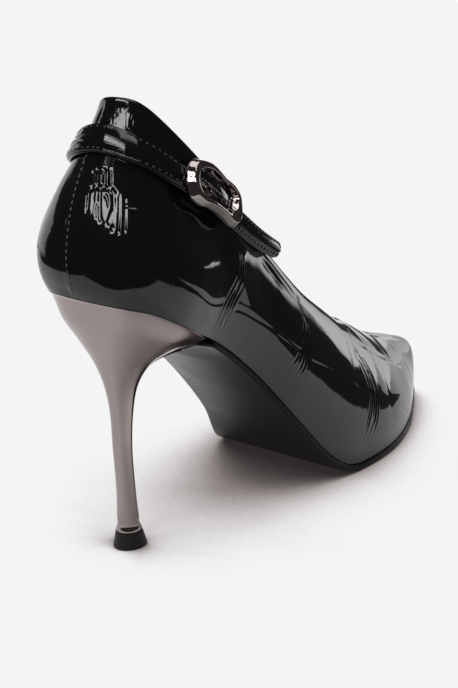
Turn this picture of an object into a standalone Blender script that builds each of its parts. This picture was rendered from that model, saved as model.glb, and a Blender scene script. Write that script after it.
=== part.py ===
"""Stiletto court shoe for the right foot, with a buckled counter strap.

Tables are in millimetres, with x = 0 at the middle of the heel tip.
+X points to the toe, +Y to the inner side of the foot, +Z up; the floor is z = 0.
"""
import bpy
import bmesh
import math
import numpy as np
from mathutils import Vector

NAME = "stiletto_pump"
MM = 0.001

CLEARANCE = 0.3            # gap between pieces that touch
WALL_THICKNESS = 1.6       # upper with its lining
INSOLE_THICKNESS = 2.0
INSOLE_INSET = 2.4         # insole edge, in from the feather line
FEATHER_FLOOR = 3.5        # lowest height of the feather line, over the tread
SOLE_OVERHANG = 0.7        # sole edge, out from the feather line
SOLE_EDGE_TAPER = 0.8      # bottom of the sole edge, in from its top
FLAP_SPAN = 3.0            # heel sections that the sole's flap covers on the breast
STRAP_THICKNESS = 2.2
STRAP_CHAMFER = 0.45
STRAP_STAND_OFF = 0.55     # strap's back from the upper
BUCKLE_PLACE = 2.24        # station on the outer side where the buckle sits
EYELET_RADIUS = 1.55
EYELET_WIRE = 0.4
PRONG_ROOT = -9.0          # along the strap from the buckle's middle
PRONG_TIP = -2.6
PRONG_RADIUS = 0.85

# Feather line, where the upper meets the sole: x, outer y, inner y.
FEATHER = [
    ("back", -29.0, 0.0, 0.0),
    ("heel_round", -23.3, -16.9, 17.2),
    ("heel_side", -4.0, -25.0, 25.0),
    ("breast", 22.0, -22.0, 22.0),
    ("waist", 48.0, -21.5, 21.8),
    ("arch", 76.0, -26.0, 21.2),
    ("ball", 106.0, -31.5, 33.5),
    ("tread", 134.0, -31.0, 32.0),
    ("vamp", 160.0, -23.5, 24.5),
    ("toe", 183.4, -11.3, 13.5),
    ("toe_round", 193.6, -4.2, 7.4),
    ("tip", 198.3, 1.9, 1.9),
]

# Height of the feather line along the shoe: x, z.
BOTTOM = [
    (-29.0, 103.0),
    (-17.0, 99.0),
    (-4.0, 92.3),
    (10.0, 84.4),
    (22.0, 78.0),
    (48.0, 58.0),
    (76.0, 28.0),
    (90.0, 12.8),
    (100.0, 5.6),
    (108.0, 3.5),
    (140.0, 3.5),
    (160.0, 4.2),
    (184.0, 6.4),
    (203.0, 8.8),
]
TREAD_START = 100.0        # x from which the sole lies level

# Topline from the centre back to the throat, one row for each of the first eight stations:
# x, outer y, inner y, outer z, inner z.
TOPLINE = [
    (-8.0, 0.0, 0.0, 168.8, 168.8),
    (-3.5, -10.0, 9.5, 166.6, 164.8),
    (9.0, -17.5, 17.0, 152.8, 152.0),
    (28.0, -21.7, 21.5, 132.5, 132.5),
    (50.0, -23.5, 23.5, 108.0, 108.0),
    (78.0, -22.5, 22.5, 82.6, 82.6),
    (109.0, -15.5, 15.5, 63.8, 63.8),
    (132.0, 0.0, 0.0, 52.8, 52.8),
]

# Vamp ridge from the throat to the toe, one row for each further station: x, y, z.
RIDGE = [
    (132.0, 0.0, 52.8),
    (156.0, 0.2, 39.9),
    (178.0, 0.5, 31.8),
    (192.4, 1.0, 26.2),
    (194.9, 1.5, 21.1),
]

# Fullness of the wall at each station:
# outward and upward from the feather line, outward and downward from the topline or ridge.
WALL = [
    (11.2, 22.0, 10.2, 28.0),
    (12.0, 22.0, 10.4, 27.0),
    (10.0, 22.0, 6.0, 22.0),
    (8.0, 22.0, 4.0, 20.0),
    (7.0, 18.0, 4.0, 15.0),
    (5.0, 20.0, 6.0, 16.0),
    (3.0, 20.0, 12.0, 10.0),
    (2.5, 20.0, 17.0, 0.0),
    (2.0, 15.0, 12.0, 0.0),
    (1.5, 10.0, 7.0, 0.0),
    (1.5, 9.5, 6.0, 0.0),
    (0.4, 4.5, 3.0, 0.0),
]

# Sole thickness along the shoe: x, thickness.
SOLE = [
    (22.0, 2.2),
    (60.0, 2.4),
    (100.0, 3.0),
    (108.0, 3.2),
    (203.0, 3.2),
]

# Heel below its seat: back x, back z, front x, front z, half width, share of the seat's outline.
HEEL = [
    ("cup", -24.6, 92.0, 14.6, 77.2, 20.3, 0.75),
    ("bowl", -19.8, 83.0, 8.4, 74.9, 14.6, 0.45),
    ("neck", -14.9, 73.5, 3.5, 71.0, 9.2, 0.2),
    ("shoulder", -11.4, 63.5, 0.0, 63.5, 5.4, 0.05),
    ("stem_top", -9.2, 52.5, -1.5, 53.0, 3.9, 0.0),
    ("stem_middle", -8.1, 39.5, -1.8, 39.5, 3.5, 0.0),
    ("stem_low", -6.5, 24.0, -0.2, 24.0, 3.4, 0.0),
    ("ankle", -6.0, 13.0, 1.2, 13.0, 3.8, 0.0),
    ("foot", -6.3, 6.7, 2.6, 6.7, 4.6, 0.0),
]

# Rubber tip: back x, front x, half width, z.
TIP = [
    (-6.4, 2.7, 4.7, 6.4),
    (-7.3, 4.4, 5.75, 0.7),
    (-7.2, 4.3, 5.65, 0.0),
]

# Strap along the wall: station (inner side negative), middle below the topline, width.
STRAP = [
    (-2.6, 12.0, 7.8),
    (-2.0, 14.6, 8.2),
    (-1.5, 16.3, 8.8),
    (-1.0, 16.3, 9.4),
    (-0.5, 15.0, 9.9),
    (0.0, 14.0, 10.0),
    (0.5, 15.0, 9.8),
    (1.0, 16.5, 9.2),
    (1.5, 16.5, 8.5),
    (2.25, 13.6, 7.8),
    (3.3, 8.0, 7.2),
    (4.15, 0.0, 6.6),
]

# Square, slightly rounded end of the strap: distance from the end, share of the width.
STRAP_END = [
    (0.0, 0.56),
    (0.5, 0.78),
    (1.3, 0.93),
    (2.6, 1.0),
]

# Middle line of the buckle's tube: along the strap, across it (up positive), tube radius.
BUCKLE = [
    (-15.0, -0.6, 2.7),
    (-12.6, 4.6, 2.6),
    (-6.6, 6.8, 2.2),
    (2.2, 5.7, 2.0),
    (9.2, 6.7, 2.2),
    (13.6, 4.4, 2.5),
    (14.8, -0.6, 2.6),
    (12.2, -5.8, 2.6),
    (7.0, -5.7, 2.3),
    (1.2, -4.7, 2.1),
    (-6.0, -6.0, 2.3),
    (-12.4, -5.3, 2.6),
]

COLOURS = {
    "upper": ((0.012, 0.011, 0.012, 1.0), 0.12, 0.0),
    "insole": ((0.03, 0.028, 0.027, 1.0), 0.6, 0.0),
    "outsole": ((0.02, 0.019, 0.019, 1.0), 0.55, 0.0),
    "strap": ((0.012, 0.011, 0.012, 1.0), 0.15, 0.0),
    "heel": ((0.3, 0.27, 0.26, 1.0), 0.2, 1.0),
    "heel_tip": ((0.01, 0.01, 0.01, 1.0), 0.5, 0.0),
    "buckle": ((0.33, 0.29, 0.28, 1.0), 0.1, 1.0),
    "buckle_prong": ((0.33, 0.29, 0.28, 1.0), 0.15, 1.0),
    "strap_eyelet": ((0.33, 0.29, 0.28, 1.0), 0.15, 1.0),
}

STATIONS = len(FEATHER) - 1
THROAT = len(TOPLINE) - 1
BREAST = 3
UP = np.array([0.0, 0.0, 1.0])


def catmull(rows, t, closed=False):
    """Points of a Catmull-Rom curve through the rows, at row numbers t."""
    rows = np.asarray(rows, float)
    count = len(rows)
    t = np.atleast_1d(np.asarray(t, float))
    last = count - 1 if closed else count - 2
    i = np.clip(np.floor(t).astype(int), 0, last)
    f = (t - i)[:, None]
    if closed:
        p0, p1, p2, p3 = (rows[(i + k) % count] for k in (-1, 0, 1, 2))
    else:
        ends = np.vstack([2 * rows[0] - rows[1], rows, 2 * rows[-1] - rows[-2]])
        p0, p1, p2, p3 = (ends[np.clip(i + k, 0, count + 1)] for k in (0, 1, 2, 3))
    a = 2 * p0 - 5 * p1 + 4 * p2 - p3
    b = 3 * p1 - p0 - 3 * p2 + p3
    return 0.5 * (2 * p1 + (p2 - p0) * f + a * f * f + b * f ** 3)


def profile(rows, x):
    """Smooth curve through rows whose first column is x."""
    rows = np.asarray(rows, float)
    xs = rows[:, 0]
    ys = rows[:, 1:]
    slope = np.gradient(ys, xs, axis=0)
    x = np.atleast_1d(np.asarray(x, float))
    i = np.clip(np.searchsorted(xs, x) - 1, 0, len(xs) - 2)
    h = (xs[i + 1] - xs[i])[:, None]
    f = np.clip((x - xs[i])[:, None] / h, 0.0, 1.0)
    h00 = 2 * f ** 3 - 3 * f ** 2 + 1
    h10 = f ** 3 - 2 * f ** 2 + f
    h01 = 3 * f ** 2 - 2 * f ** 3
    h11 = f ** 3 - f ** 2
    return h00 * ys[i] + h10 * h * slope[i] + h01 * ys[i + 1] + h11 * h * slope[i + 1]


def bottom(x):
    """Height of the feather line at x."""
    return np.maximum(profile(BOTTOM, x)[:, 0], FEATHER_FLOOR)


def closed_loop(outer, inner):
    """One loop from the back along the outer side to the front, and back along the inner side."""
    return np.array(list(outer) + list(inner)[-2:0:-1], float)


def feather(side, s):
    """Points of the feather line in plan, and its outward direction, at stations s."""
    loop = closed_loop([(r[1], r[2]) for r in FEATHER], [(r[1], r[3]) for r in FEATHER])
    count = len(loop)
    s = np.atleast_1d(np.asarray(s, float))
    t = s if side < 0 else count - s
    step = 0.001
    point = catmull(loop, np.mod(t, count), True)
    ahead = catmull(loop, np.mod(t + step, count), True)
    behind = catmull(loop, np.mod(t - step, count), True)
    along = ahead - behind
    along /= np.linalg.norm(along, axis=1)[:, None]
    return point, np.column_stack([along[:, 1], -along[:, 0]])


def top_edge(side, s):
    """Topline, and after the throat the ridge, with the ridge's direction, at stations s."""
    outer = [(r[0], r[1], r[3]) for r in TOPLINE]
    inner = [(r[0], r[2], r[4]) for r in TOPLINE]
    loop = closed_loop(outer, inner)
    count = len(loop)
    s = np.asarray(s, float)
    on_topline = s <= THROAT
    t = s if side < 0 else count - s
    line = catmull(loop, np.mod(np.where(on_topline, t, 0.0), count), True)
    u = np.clip(s - THROAT, 0.0, len(RIDGE) - 1)
    ridge = catmull(RIDGE, u)
    step = 0.001
    end = len(RIDGE) - 1
    ahead = catmull(RIDGE, np.clip(u + step, 0, end))
    behind = catmull(RIDGE, np.clip(u - step, 0, end))
    along = ahead - behind
    along /= np.linalg.norm(along, axis=1)[:, None]
    return np.where(on_topline[:, None], line, ridge), along


def last_surface(side, s, v):
    """Outer face of the upper: stations s along the shoe, v from the feather line up."""
    s = np.atleast_1d(np.asarray(s, float))
    v = np.atleast_1d(np.asarray(v, float))
    plan, out = feather(side, s)
    low = np.column_stack([plan, bottom(plan[:, 0])])
    high, along = top_edge(side, s)
    full = catmull(WALL, s)
    out3 = np.column_stack([out, 0 * s])
    over = np.column_stack([0 * s, out[:, 1], 0 * s]) + along * out[:, :1]
    mix = np.clip(s - (THROAT - 1), 0.0, 1.0)[:, None]
    out_top = out3 * (1 - mix) + over * mix
    low_arm = low + out3 * full[:, 0:1] + UP * full[:, 1:2]
    high_arm = high + out_top * full[:, 2:3] - UP * full[:, 3:4]
    w = v[None, :, None]
    a = (1 - w) ** 3 * low[:, None]
    b = 3 * w * (1 - w) ** 2 * low_arm[:, None]
    c = 3 * w * w * (1 - w) * high_arm[:, None]
    return a + b + c + w ** 3 * high[:, None]


def wall_point(station, drop):
    """Point of the upper's face a distance below the topline; above it, straight on."""
    side = -1 if station >= 0 else 1
    line = last_surface(side, [abs(station)], np.linspace(1.0, 0.0, 81))[0]
    length = np.concatenate([[0.0], np.cumsum(np.linalg.norm(np.diff(line, axis=0), axis=1))])
    point = np.array([np.interp(max(drop, 0.0), length, line[:, k]) for k in range(3)])
    rise = line[0] - line[3]
    rise /= np.linalg.norm(rise)
    return point + rise * max(-drop, 0.0)


def strap_frame(station):
    """Foot point on the wall, direction along the strap, direction up across it, outward normal."""
    def middle(q):
        return wall_point(q, profile(STRAP, q)[0, 0])
    foot = middle(station)
    along = middle(station + 0.03) - middle(station - 0.03)
    along /= np.linalg.norm(along)
    drop = profile(STRAP, station)[0, 0]
    rise = wall_point(station, drop - 1.5) - wall_point(station, drop + 1.5)
    out = np.cross(along, rise)
    out /= np.linalg.norm(out)
    return foot, along, np.cross(out, along), out


class StrapPath:
    """Frames along the strap, read by the length from the buckle's middle."""

    def __init__(self):
        self.stations = np.linspace(STRAP[0][0], STRAP[-1][0], 241)
        frames = [strap_frame(q) for q in self.stations]
        self.foot, self.along, self.across, self.out = (np.array(c) for c in zip(*frames))
        steps = np.linalg.norm(np.diff(self.foot, axis=0), axis=1)
        length = np.concatenate([[0.0], np.cumsum(steps)])
        self.length = length - np.interp(BUCKLE_PLACE, self.stations, length)
        self.width = profile(STRAP, self.stations)[:, 1]

    def at(self, length, table):
        """A column of the path at a length."""
        return np.array([np.interp(length, self.length, table[:, k]) for k in range(table.shape[1])])

    def point(self, length, across, height):
        """Point over the strap's middle line, offset across it and off the wall."""
        foot = self.at(length, self.foot)
        return foot + self.at(length, self.across) * across + self.at(length, self.out) * height


def new_object(name, mesh, collection):
    """Object with its own surface colour, in the given collection."""
    colour, rough, metal = COLOURS[name]
    material = bpy.data.materials.new(name)
    material.use_nodes = True
    shader = material.node_tree.nodes["Principled BSDF"]
    shader.inputs["Base Color"].default_value = colour
    shader.inputs["Roughness"].default_value = rough
    shader.inputs["Metallic"].default_value = metal
    material.diffuse_color = colour
    mesh.materials.append(material)
    item = bpy.data.objects.new(name, mesh)
    collection.objects.link(item)
    return item


def smooth(mesh, degrees=38.0):
    """Smooth shading up to an edge angle."""
    mesh.shade_smooth()
    mesh.set_sharp_from_angle(angle=math.radians(degrees))


def loft(name, rings, collection, ladder=False):
    """Closed solid through rings of equal count; ladder ends join mirrored points of the end rings."""
    bm = bmesh.new()
    rows = [[bm.verts.new(Vector(p) * MM) for p in ring] for ring in rings]
    count = len(rows[0])
    for low, high in zip(rows, rows[1:]):
        for i in range(count):
            j = (i + 1) % count
            bm.faces.new((low[i], low[j], high[j], high[i]))
    for end in (rows[0], rows[-1]):
        if not ladder:
            bm.faces.new(end)
            continue
        half = count // 2
        for i in range(half):
            quad = [end[i], end[i + 1], end[(count - i - 1) % count], end[(count - i) % count]]
            bm.faces.new(list(dict.fromkeys(quad)))
    bmesh.ops.recalc_face_normals(bm, faces=bm.faces)
    mesh = bpy.data.meshes.new(name)
    bm.to_mesh(mesh)
    bm.free()
    smooth(mesh)
    return new_object(name, mesh, collection)


def make_upper(collection):
    """Open shell between the feather line, the topline and the ridge, thickened inwards."""
    columns = np.linspace(0.0, STATIONS, 4 * STATIONS + 1)
    rows = np.array([0.0, 0.09, 0.2, 0.33, 0.47, 0.6, 0.72, 0.83, 0.92, 1.0])
    bm = bmesh.new()
    grid = {}
    for side in (-1, 1):
        points = last_surface(side, columns, rows)
        for i, s in enumerate(columns):
            for j in range(len(rows)):
                shared = i in (0, len(columns) - 1) or (s >= THROAT and j == len(rows) - 1)
                if side > 0 and shared:
                    grid[side, i, j] = grid[-1, i, j]
                else:
                    grid[side, i, j] = bm.verts.new(Vector(points[i, j]) * MM)
    for side in (-1, 1):
        for i in range(len(columns) - 1):
            for j in range(len(rows) - 1):
                quad = [grid[side, i, j], grid[side, i + 1, j], grid[side, i + 1, j + 1], grid[side, i, j + 1]]
                bm.faces.new(quad if side < 0 else quad[::-1])
    mesh = bpy.data.meshes.new("upper")
    bm.to_mesh(mesh)
    bm.free()
    smooth(mesh, 60.0)
    item = new_object("upper", mesh, collection)
    shell = item.modifiers.new("wall", "SOLIDIFY")
    shell.thickness = WALL_THICKNESS * MM
    shell.offset = -1.0
    return item


def make_insole(collection):
    """Plate on the sole and the heel seat, inside the upper."""
    rings = []
    for s in np.concatenate([np.linspace(0.22, 3.0, 14), np.linspace(3.2, 10.5, 38)]):
        edge = []
        for side in (-1, 1):
            plan, out = feather(side, s)
            edge.append(plan[0] - out[0] * INSOLE_INSET)
        base = [bottom(e[0])[0] + 0.1 for e in edge]
        rings.append([
            (edge[0][0], edge[0][1], base[0]),
            (edge[0][0], edge[0][1], base[0] + INSOLE_THICKNESS),
            (edge[1][0], edge[1][1], base[1] + INSOLE_THICKNESS),
            (edge[1][0], edge[1][1], base[1]),
        ])
    return loft("insole", rings, collection)


def heel_outline(share):
    """Section outline: depth 0 at the back to 1 at the front, width -1 to 1."""
    back = np.linspace(0.0, 1.0, 15)
    plan, _ = feather(-1, back * BREAST)
    depth_seat = (plan[:, 0] - FEATHER[0][1]) / (FEATHER[BREAST][1] - FEATHER[0][1])
    width_seat = plan[:, 1] / abs(FEATHER[2][2])
    turn = math.radians(132.0)
    depth_stem = (1 - np.cos(back * turn)) / (1 - math.cos(turn))
    width_stem = -np.sin(back * turn)
    depth = share * depth_seat + (1 - share) * depth_stem
    width = share * width_seat + (1 - share) * width_stem
    front = np.linspace(width[-1], -width[-1], 9)[1:-1]
    depth = np.concatenate([depth, np.ones(len(front)), depth[:0:-1]])
    width = np.concatenate([width, front, -width[:0:-1]])
    return depth, width


def heel_rows():
    """Heel sections from the seat down: back x, back z, front x, front z, half width, share."""
    seat = (FEATHER[0][1], BOTTOM[0][1], FEATHER[BREAST][1], bottom(FEATHER[BREAST][1])[0], abs(FEATHER[2][2]), 1.0)
    return [seat] + [row[1:] for row in HEEL]


def heel_section(t):
    """One ring of the heel at section number t, from the seat at 0."""
    back_x, back_z, front_x, front_z, half, share = catmull(heel_rows(), t)[0]
    depth, width = heel_outline(float(np.clip(share, 0.0, 1.0)))
    x = back_x + (front_x - back_x) * depth
    z = back_z + (front_z - back_z) * depth
    seat = float(np.clip(1.0 - t, 0.0, 1.0)) ** 2
    z = seat * (bottom(x) - CLEARANCE) + (1 - seat) * z
    return np.column_stack([x, half * width, z])


def make_heel(collection):
    """Heel from the seat, through the neck, to the foot of the stem."""
    sections = np.concatenate([np.linspace(0.0, 4.0, 15), np.linspace(4.4, len(HEEL), 12)])
    return loft("heel", [heel_section(t) for t in sections], collection, ladder=True)


def make_heel_tip(collection):
    """Rubber tip under the stem, flat on the floor."""
    rings = []
    for back_x, front_x, half, z in TIP:
        depth, width = heel_outline(0.0)
        x = back_x + (front_x - back_x) * depth
        rings.append(np.column_stack([x, half * width, np.full(len(x), z)]))
    return loft("heel_tip", rings, collection, ladder=True)


def sole_path():
    """Upper face of the sole from the flap's end up the breast and along to the toe.

    Rows: x, z, outer y, inner y, thickness.
    """
    rows = []
    for t in np.linspace(FLAP_SPAN, 0.55, 9):
        ring = heel_section(t)
        front = ring[:, 0] > ring[:, 0].max() - 1e-6
        half = abs(ring[front, 1]).max()
        thick = 0.8 + 1.3 * (1 - t / FLAP_SPAN)
        step = heel_section(t - 0.05)[front].mean(axis=0) - ring[front].mean(axis=0)
        step /= np.linalg.norm(step)
        x = ring[front, 0].mean() + CLEARANCE * step[2]
        z = ring[front, 2].mean() - CLEARANCE * step[0]
        rows.append((x, z, -half, half, thick))
    stations = np.concatenate([[BREAST + 0.015], np.linspace(BREAST + 0.14, 9.0, 36), np.linspace(9.2, 10.9, 10)])
    for s in stations:
        outer, out_o = feather(-1, s)
        inner, out_i = feather(1, s)
        grow = SOLE_OVERHANG * min(1.0, (s - BREAST) / 1.5)
        y_o = outer[0, 1] + out_o[0, 1] * grow
        y_i = inner[0, 1] + out_i[0, 1] * grow
        x = outer[0, 0] + out_o[0, 0] * grow
        rows.append((x, bottom(outer[0, 0])[0] - CLEARANCE, y_o, y_i, np.interp(x, *np.array(SOLE).T)))
    return np.array(rows)


def make_outsole(collection):
    """Thin sole whose back end turns down the heel's breast as a flap."""
    rows = sole_path()
    line = rows[:, :2]
    step = np.diff(line, axis=0)
    step /= np.linalg.norm(step, axis=1)[:, None]
    down = np.column_stack([step[:, 1], -step[:, 0]])
    rings = []
    for i, (x, z, y_o, y_i, thick) in enumerate(rows):
        a = down[max(i - 1, 0)]
        b = down[min(i, len(down) - 1)]
        both = (a + b) / (1.0 + a @ b)
        if x > TREAD_START:
            both = np.array([0.0, -1.0])
        taper = min(SOLE_EDGE_TAPER, 0.3 * (y_i - y_o))
        bx, bz = (x, z) + both * thick
        mx, mz = (x, z) + both * thick * 0.6
        bz = max(bz, 0.0)
        rings.append([
            (x, y_o, z),
            (mx, y_o, mz),
            (bx, y_o + taper, bz),
            (bx, y_i - taper, bz),
            (mx, y_i, mz),
            (x, y_i, z),
        ])
    return loft("outsole", rings, collection)


def make_strap(path, collection):
    """Flat strap round the counter, its free end past the buckle."""
    end = path.length[-1]
    lengths = list(np.linspace(path.length[0], end - 3.2, 58))
    lengths += [end - d for d, _ in reversed(STRAP_END)]
    rings = []
    for length in lengths:
        width = np.interp(length, path.length, path.width)
        width *= np.interp(end - length, [d for d, _ in STRAP_END], [w for _, w in STRAP_END])
        half = width / 2
        low = STRAP_STAND_OFF
        high = STRAP_STAND_OFF + STRAP_THICKNESS
        c = STRAP_CHAMFER
        section = [
            (-half, low), (-half, high - c), (-half + c, high), (half - c, high),
            (half, high - c), (half, low),
        ]
        rings.append([path.point(length, a, h) for a, h in section])
    return loft("strap", rings, collection)


def make_buckle(path, collection):
    """Closed tube ring lying on the strap, lobed at both ends."""
    points = catmull(BUCKLE, np.arange(0, len(BUCKLE), 0.25), True)
    lift = STRAP_STAND_OFF + STRAP_THICKNESS + CLEARANCE
    curve = bpy.data.curves.new("buckle", "CURVE")
    curve.dimensions = "3D"
    curve.bevel_depth = MM
    curve.bevel_resolution = 3
    spline = curve.splines.new("POLY")
    spline.points.add(len(points) - 1)
    spline.use_cyclic_u = True
    for knot, (along, across, radius) in zip(spline.points, points):
        place = path.point(along, across, lift + radius) * MM
        knot.co = (*place, 1.0)
        knot.radius = radius
    return new_object("buckle", curve, collection)


def make_prong(path, collection):
    """Tapered pin from the ring's back end to the eyelet, resting on the strap."""
    lift = STRAP_STAND_OFF + STRAP_THICKNESS + CLEARANCE
    root = Vector(path.point(PRONG_ROOT, 0.4, lift + PRONG_RADIUS)) * MM
    tip = Vector(path.point(PRONG_TIP, 0.4, lift + PRONG_RADIUS)) * MM
    bm = bmesh.new()
    bmesh.ops.create_cone(
        bm, cap_ends=True, segments=12, radius1=PRONG_RADIUS * MM, radius2=0.55 * PRONG_RADIUS * MM,
        depth=(tip - root).length)
    mesh = bpy.data.meshes.new("buckle_prong")
    bm.to_mesh(mesh)
    bm.free()
    smooth(mesh)
    item = new_object("buckle_prong", mesh, collection)
    item.location = (root + tip) / 2
    item.rotation_euler = (tip - root).to_track_quat("Z", "Y").to_euler()
    return item


def make_eyelet(path, collection):
    """Wire ring round the hole that the prong enters."""
    lift = STRAP_STAND_OFF + STRAP_THICKNESS + CLEARANCE
    curve = bpy.data.curves.new("strap_eyelet", "CURVE")
    curve.dimensions = "3D"
    curve.bevel_depth = EYELET_WIRE * MM
    curve.bevel_resolution = 2
    spline = curve.splines.new("POLY")
    spline.points.add(19)
    spline.use_cyclic_u = True
    for k, knot in enumerate(spline.points):
        angle = 2 * math.pi * k / 20
        along = EYELET_RADIUS * math.cos(angle)
        across = 0.4 + EYELET_RADIUS * math.sin(angle)
        knot.co = (*(path.point(along, across, lift + EYELET_WIRE) * MM), 1.0)
    return new_object("strap_eyelet", curve, collection)


def main():
    for item in list(bpy.data.objects):
        bpy.data.objects.remove(item)
    collection = bpy.data.collections.new(NAME)
    bpy.context.scene.collection.children.link(collection)
    path = StrapPath()
    items = [
        make_upper(collection),
        make_insole(collection),
        make_outsole(collection),
        make_heel(collection),
        make_heel_tip(collection),
        make_strap(path, collection),
        make_buckle(path, collection),
        make_prong(path, collection),
        make_eyelet(path, collection),
    ]
    bpy.context.view_layer.update()
    graph = bpy.context.evaluated_depsgraph_get()
    points = []
    for item in items:
        shape = item.evaluated_get(graph)
        points += [item.matrix_world @ v.co for v in shape.to_mesh().vertices]
        shape.to_mesh_clear()
    points = np.array(points)
    middle = (points.min(axis=0) + points.max(axis=0)) / 2
    root = bpy.data.objects.new(NAME, None)
    collection.objects.link(root)
    for item in items:
        item.parent = root
    root.location = (-middle[0], -middle[1], 0.0)


main()
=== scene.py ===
"""Looks of a stiletto pump: embossed patent upper, buckled counter strap, plated heel.

Sizes are in millimetres, with x = 0 at the middle of the heel tip.
+X points to the toe, +Y to the inner side of the foot, +Z up; the floor is z = 0.
"""
import math

import bmesh
import bpy
import numpy as np
from mathutils import Matrix, Vector


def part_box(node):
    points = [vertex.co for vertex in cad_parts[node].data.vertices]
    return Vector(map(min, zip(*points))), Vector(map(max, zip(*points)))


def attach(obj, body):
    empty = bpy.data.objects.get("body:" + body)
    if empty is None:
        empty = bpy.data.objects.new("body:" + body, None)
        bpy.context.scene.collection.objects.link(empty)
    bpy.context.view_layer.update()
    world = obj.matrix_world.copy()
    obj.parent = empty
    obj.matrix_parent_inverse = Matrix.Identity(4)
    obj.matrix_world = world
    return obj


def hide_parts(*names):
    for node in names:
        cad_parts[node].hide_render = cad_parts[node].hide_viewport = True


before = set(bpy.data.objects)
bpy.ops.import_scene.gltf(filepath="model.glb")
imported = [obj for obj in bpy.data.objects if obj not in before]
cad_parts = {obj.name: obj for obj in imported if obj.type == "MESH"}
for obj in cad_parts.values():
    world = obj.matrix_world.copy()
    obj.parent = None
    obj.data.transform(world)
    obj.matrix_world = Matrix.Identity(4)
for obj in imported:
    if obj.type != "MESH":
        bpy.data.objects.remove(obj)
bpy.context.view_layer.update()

MM = 0.001
UP = np.array([0.0, 0.0, 1.0])

WALL_THICKNESS = 1.6       # upper with its lining
CLEARANCE = 0.3            # gap between pieces that touch
INSOLE_THICKNESS = 2.0
INSOLE_INSET = 2.4         # insole edge, in from the feather line
FEATHER_FLOOR = 3.5        # lowest height of the feather line, over the tread
SOLE_OVERHANG = 0.7        # sole edge, out from the feather line
SOLE_EDGE_TAPER = 0.8      # bottom of the sole edge, in from its top
SOLE_CROWN = 2.4           # swell of the sole's face across the waist
CROWN_RISE = 14.0          # that swell begins over this length from the breast
CROWN_FALL = 45.0          # and ends over this length before the tread
FLAP_SPAN = 3.0            # heel sections that the sole's flap covers on the breast
FLAP_THICKNESS = 0.8       # at the flap's end
FLAP_THICKENING = 1.3      # from there to the breast's top
STRAP_THICKNESS = 2.2
STRAP_STAND_OFF = 0.55     # strap's back from the upper
STRAP_CROWN = 0.3          # swell of the strap's face across its width
STRAP_TWIST = -13.0        # the free end leans out at the top, in degrees
STRAP_LIFT = 1.4           # and stands off this much more
TWIST_START = 14.0         # ahead of the buckle's middle
TWIST_SPAN = 9.0
BUCKLE_PLACE = 2.24        # station on the outer side where the buckle sits
EYELET_RADIUS = 1.75
EYELET_WIRE = 0.55
PRONG_ROOT = -9.0          # along the strap from the buckle's middle
PRONG_TIP = -2.6
PRONG_RADIUS = 0.85
PRONG_TAPER = 0.45         # share of the radius that is gone at the tip
PRONG_TIP_ROUND = 0.12     # share of the length that is rounded off there
PRONG_ROOT_ROUND = 0.05
PRONG_ACROSS = 0.4         # prong and eyelet, above the strap's middle line

# Feather line, where the upper meets the sole: x, outer y, inner y.
FEATHER = [
    ("back", -29.0, 0.0, 0.0),
    ("heel_round", -23.3, -16.9, 17.2),
    ("heel_side", -4.0, -25.0, 25.0),
    ("breast", 22.0, -22.0, 22.0),
    ("waist", 48.0, -21.5, 21.8),
    ("arch", 76.0, -26.0, 21.2),
    ("ball", 106.0, -31.5, 33.5),
    ("tread", 134.0, -31.0, 32.0),
    ("vamp", 160.0, -23.5, 24.5),
    ("toe", 183.4, -11.3, 13.5),
    ("toe_round", 193.6, -4.2, 7.4),
    ("tip", 198.3, 1.9, 1.9),
]

# Height of the feather line along the shoe: x, z.
BOTTOM = [
    (-29.0, 103.0),
    (-17.0, 99.0),
    (-4.0, 92.3),
    (10.0, 84.4),
    (22.0, 78.0),
    (48.0, 58.0),
    (76.0, 28.0),
    (90.0, 12.8),
    (100.0, 5.6),
    (108.0, 3.5),
    (140.0, 3.5),
    (160.0, 4.2),
    (184.0, 6.4),
    (203.0, 8.8),
]
TREAD_START = 100.0        # x from which the sole lies level

# Topline from the centre back to the throat, one row for each of the first eight stations:
# x, outer y, inner y, outer z, inner z.
TOPLINE = [
    (-8.0, 0.0, 0.0, 168.8, 168.8),
    (-3.5, -10.0, 9.5, 166.6, 164.8),
    (9.0, -17.5, 17.0, 152.8, 152.0),
    (28.0, -21.7, 21.5, 132.5, 132.5),
    (50.0, -23.5, 23.5, 108.0, 108.0),
    (78.0, -22.5, 22.5, 82.6, 82.6),
    (109.0, -15.5, 15.5, 63.8, 63.8),
    (132.0, 0.0, 0.0, 52.8, 52.8),
]

# Vamp ridge from the throat to the toe, one row for each further station: x, y, z.
RIDGE = [
    (132.0, 0.0, 52.8),
    (156.0, 0.2, 39.9),
    (178.0, 0.5, 31.8),
    (192.4, 1.0, 26.2),
    (194.9, 1.5, 21.1),
]

# Fullness of the wall at each station:
# outward and upward from the feather line, outward and downward from the topline or ridge.
WALL = [
    (11.2, 22.0, 10.2, 28.0),
    (12.0, 22.0, 10.4, 27.0),
    (10.0, 22.0, 6.0, 22.0),
    (8.0, 22.0, 4.0, 20.0),
    (7.0, 18.0, 4.0, 15.0),
    (5.0, 20.0, 6.0, 16.0),
    (3.0, 20.0, 12.0, 10.0),
    (2.5, 20.0, 17.0, 0.0),
    (2.0, 15.0, 12.0, 0.0),
    (1.5, 10.0, 7.0, 0.0),
    (1.5, 9.5, 6.0, 0.0),
    (0.4, 4.5, 3.0, 0.0),
]

# Sole thickness along the shoe: x, thickness.
SOLE = [
    (22.0, 2.2),
    (60.0, 2.4),
    (100.0, 3.0),
    (108.0, 3.2),
    (203.0, 3.2),
]

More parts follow.
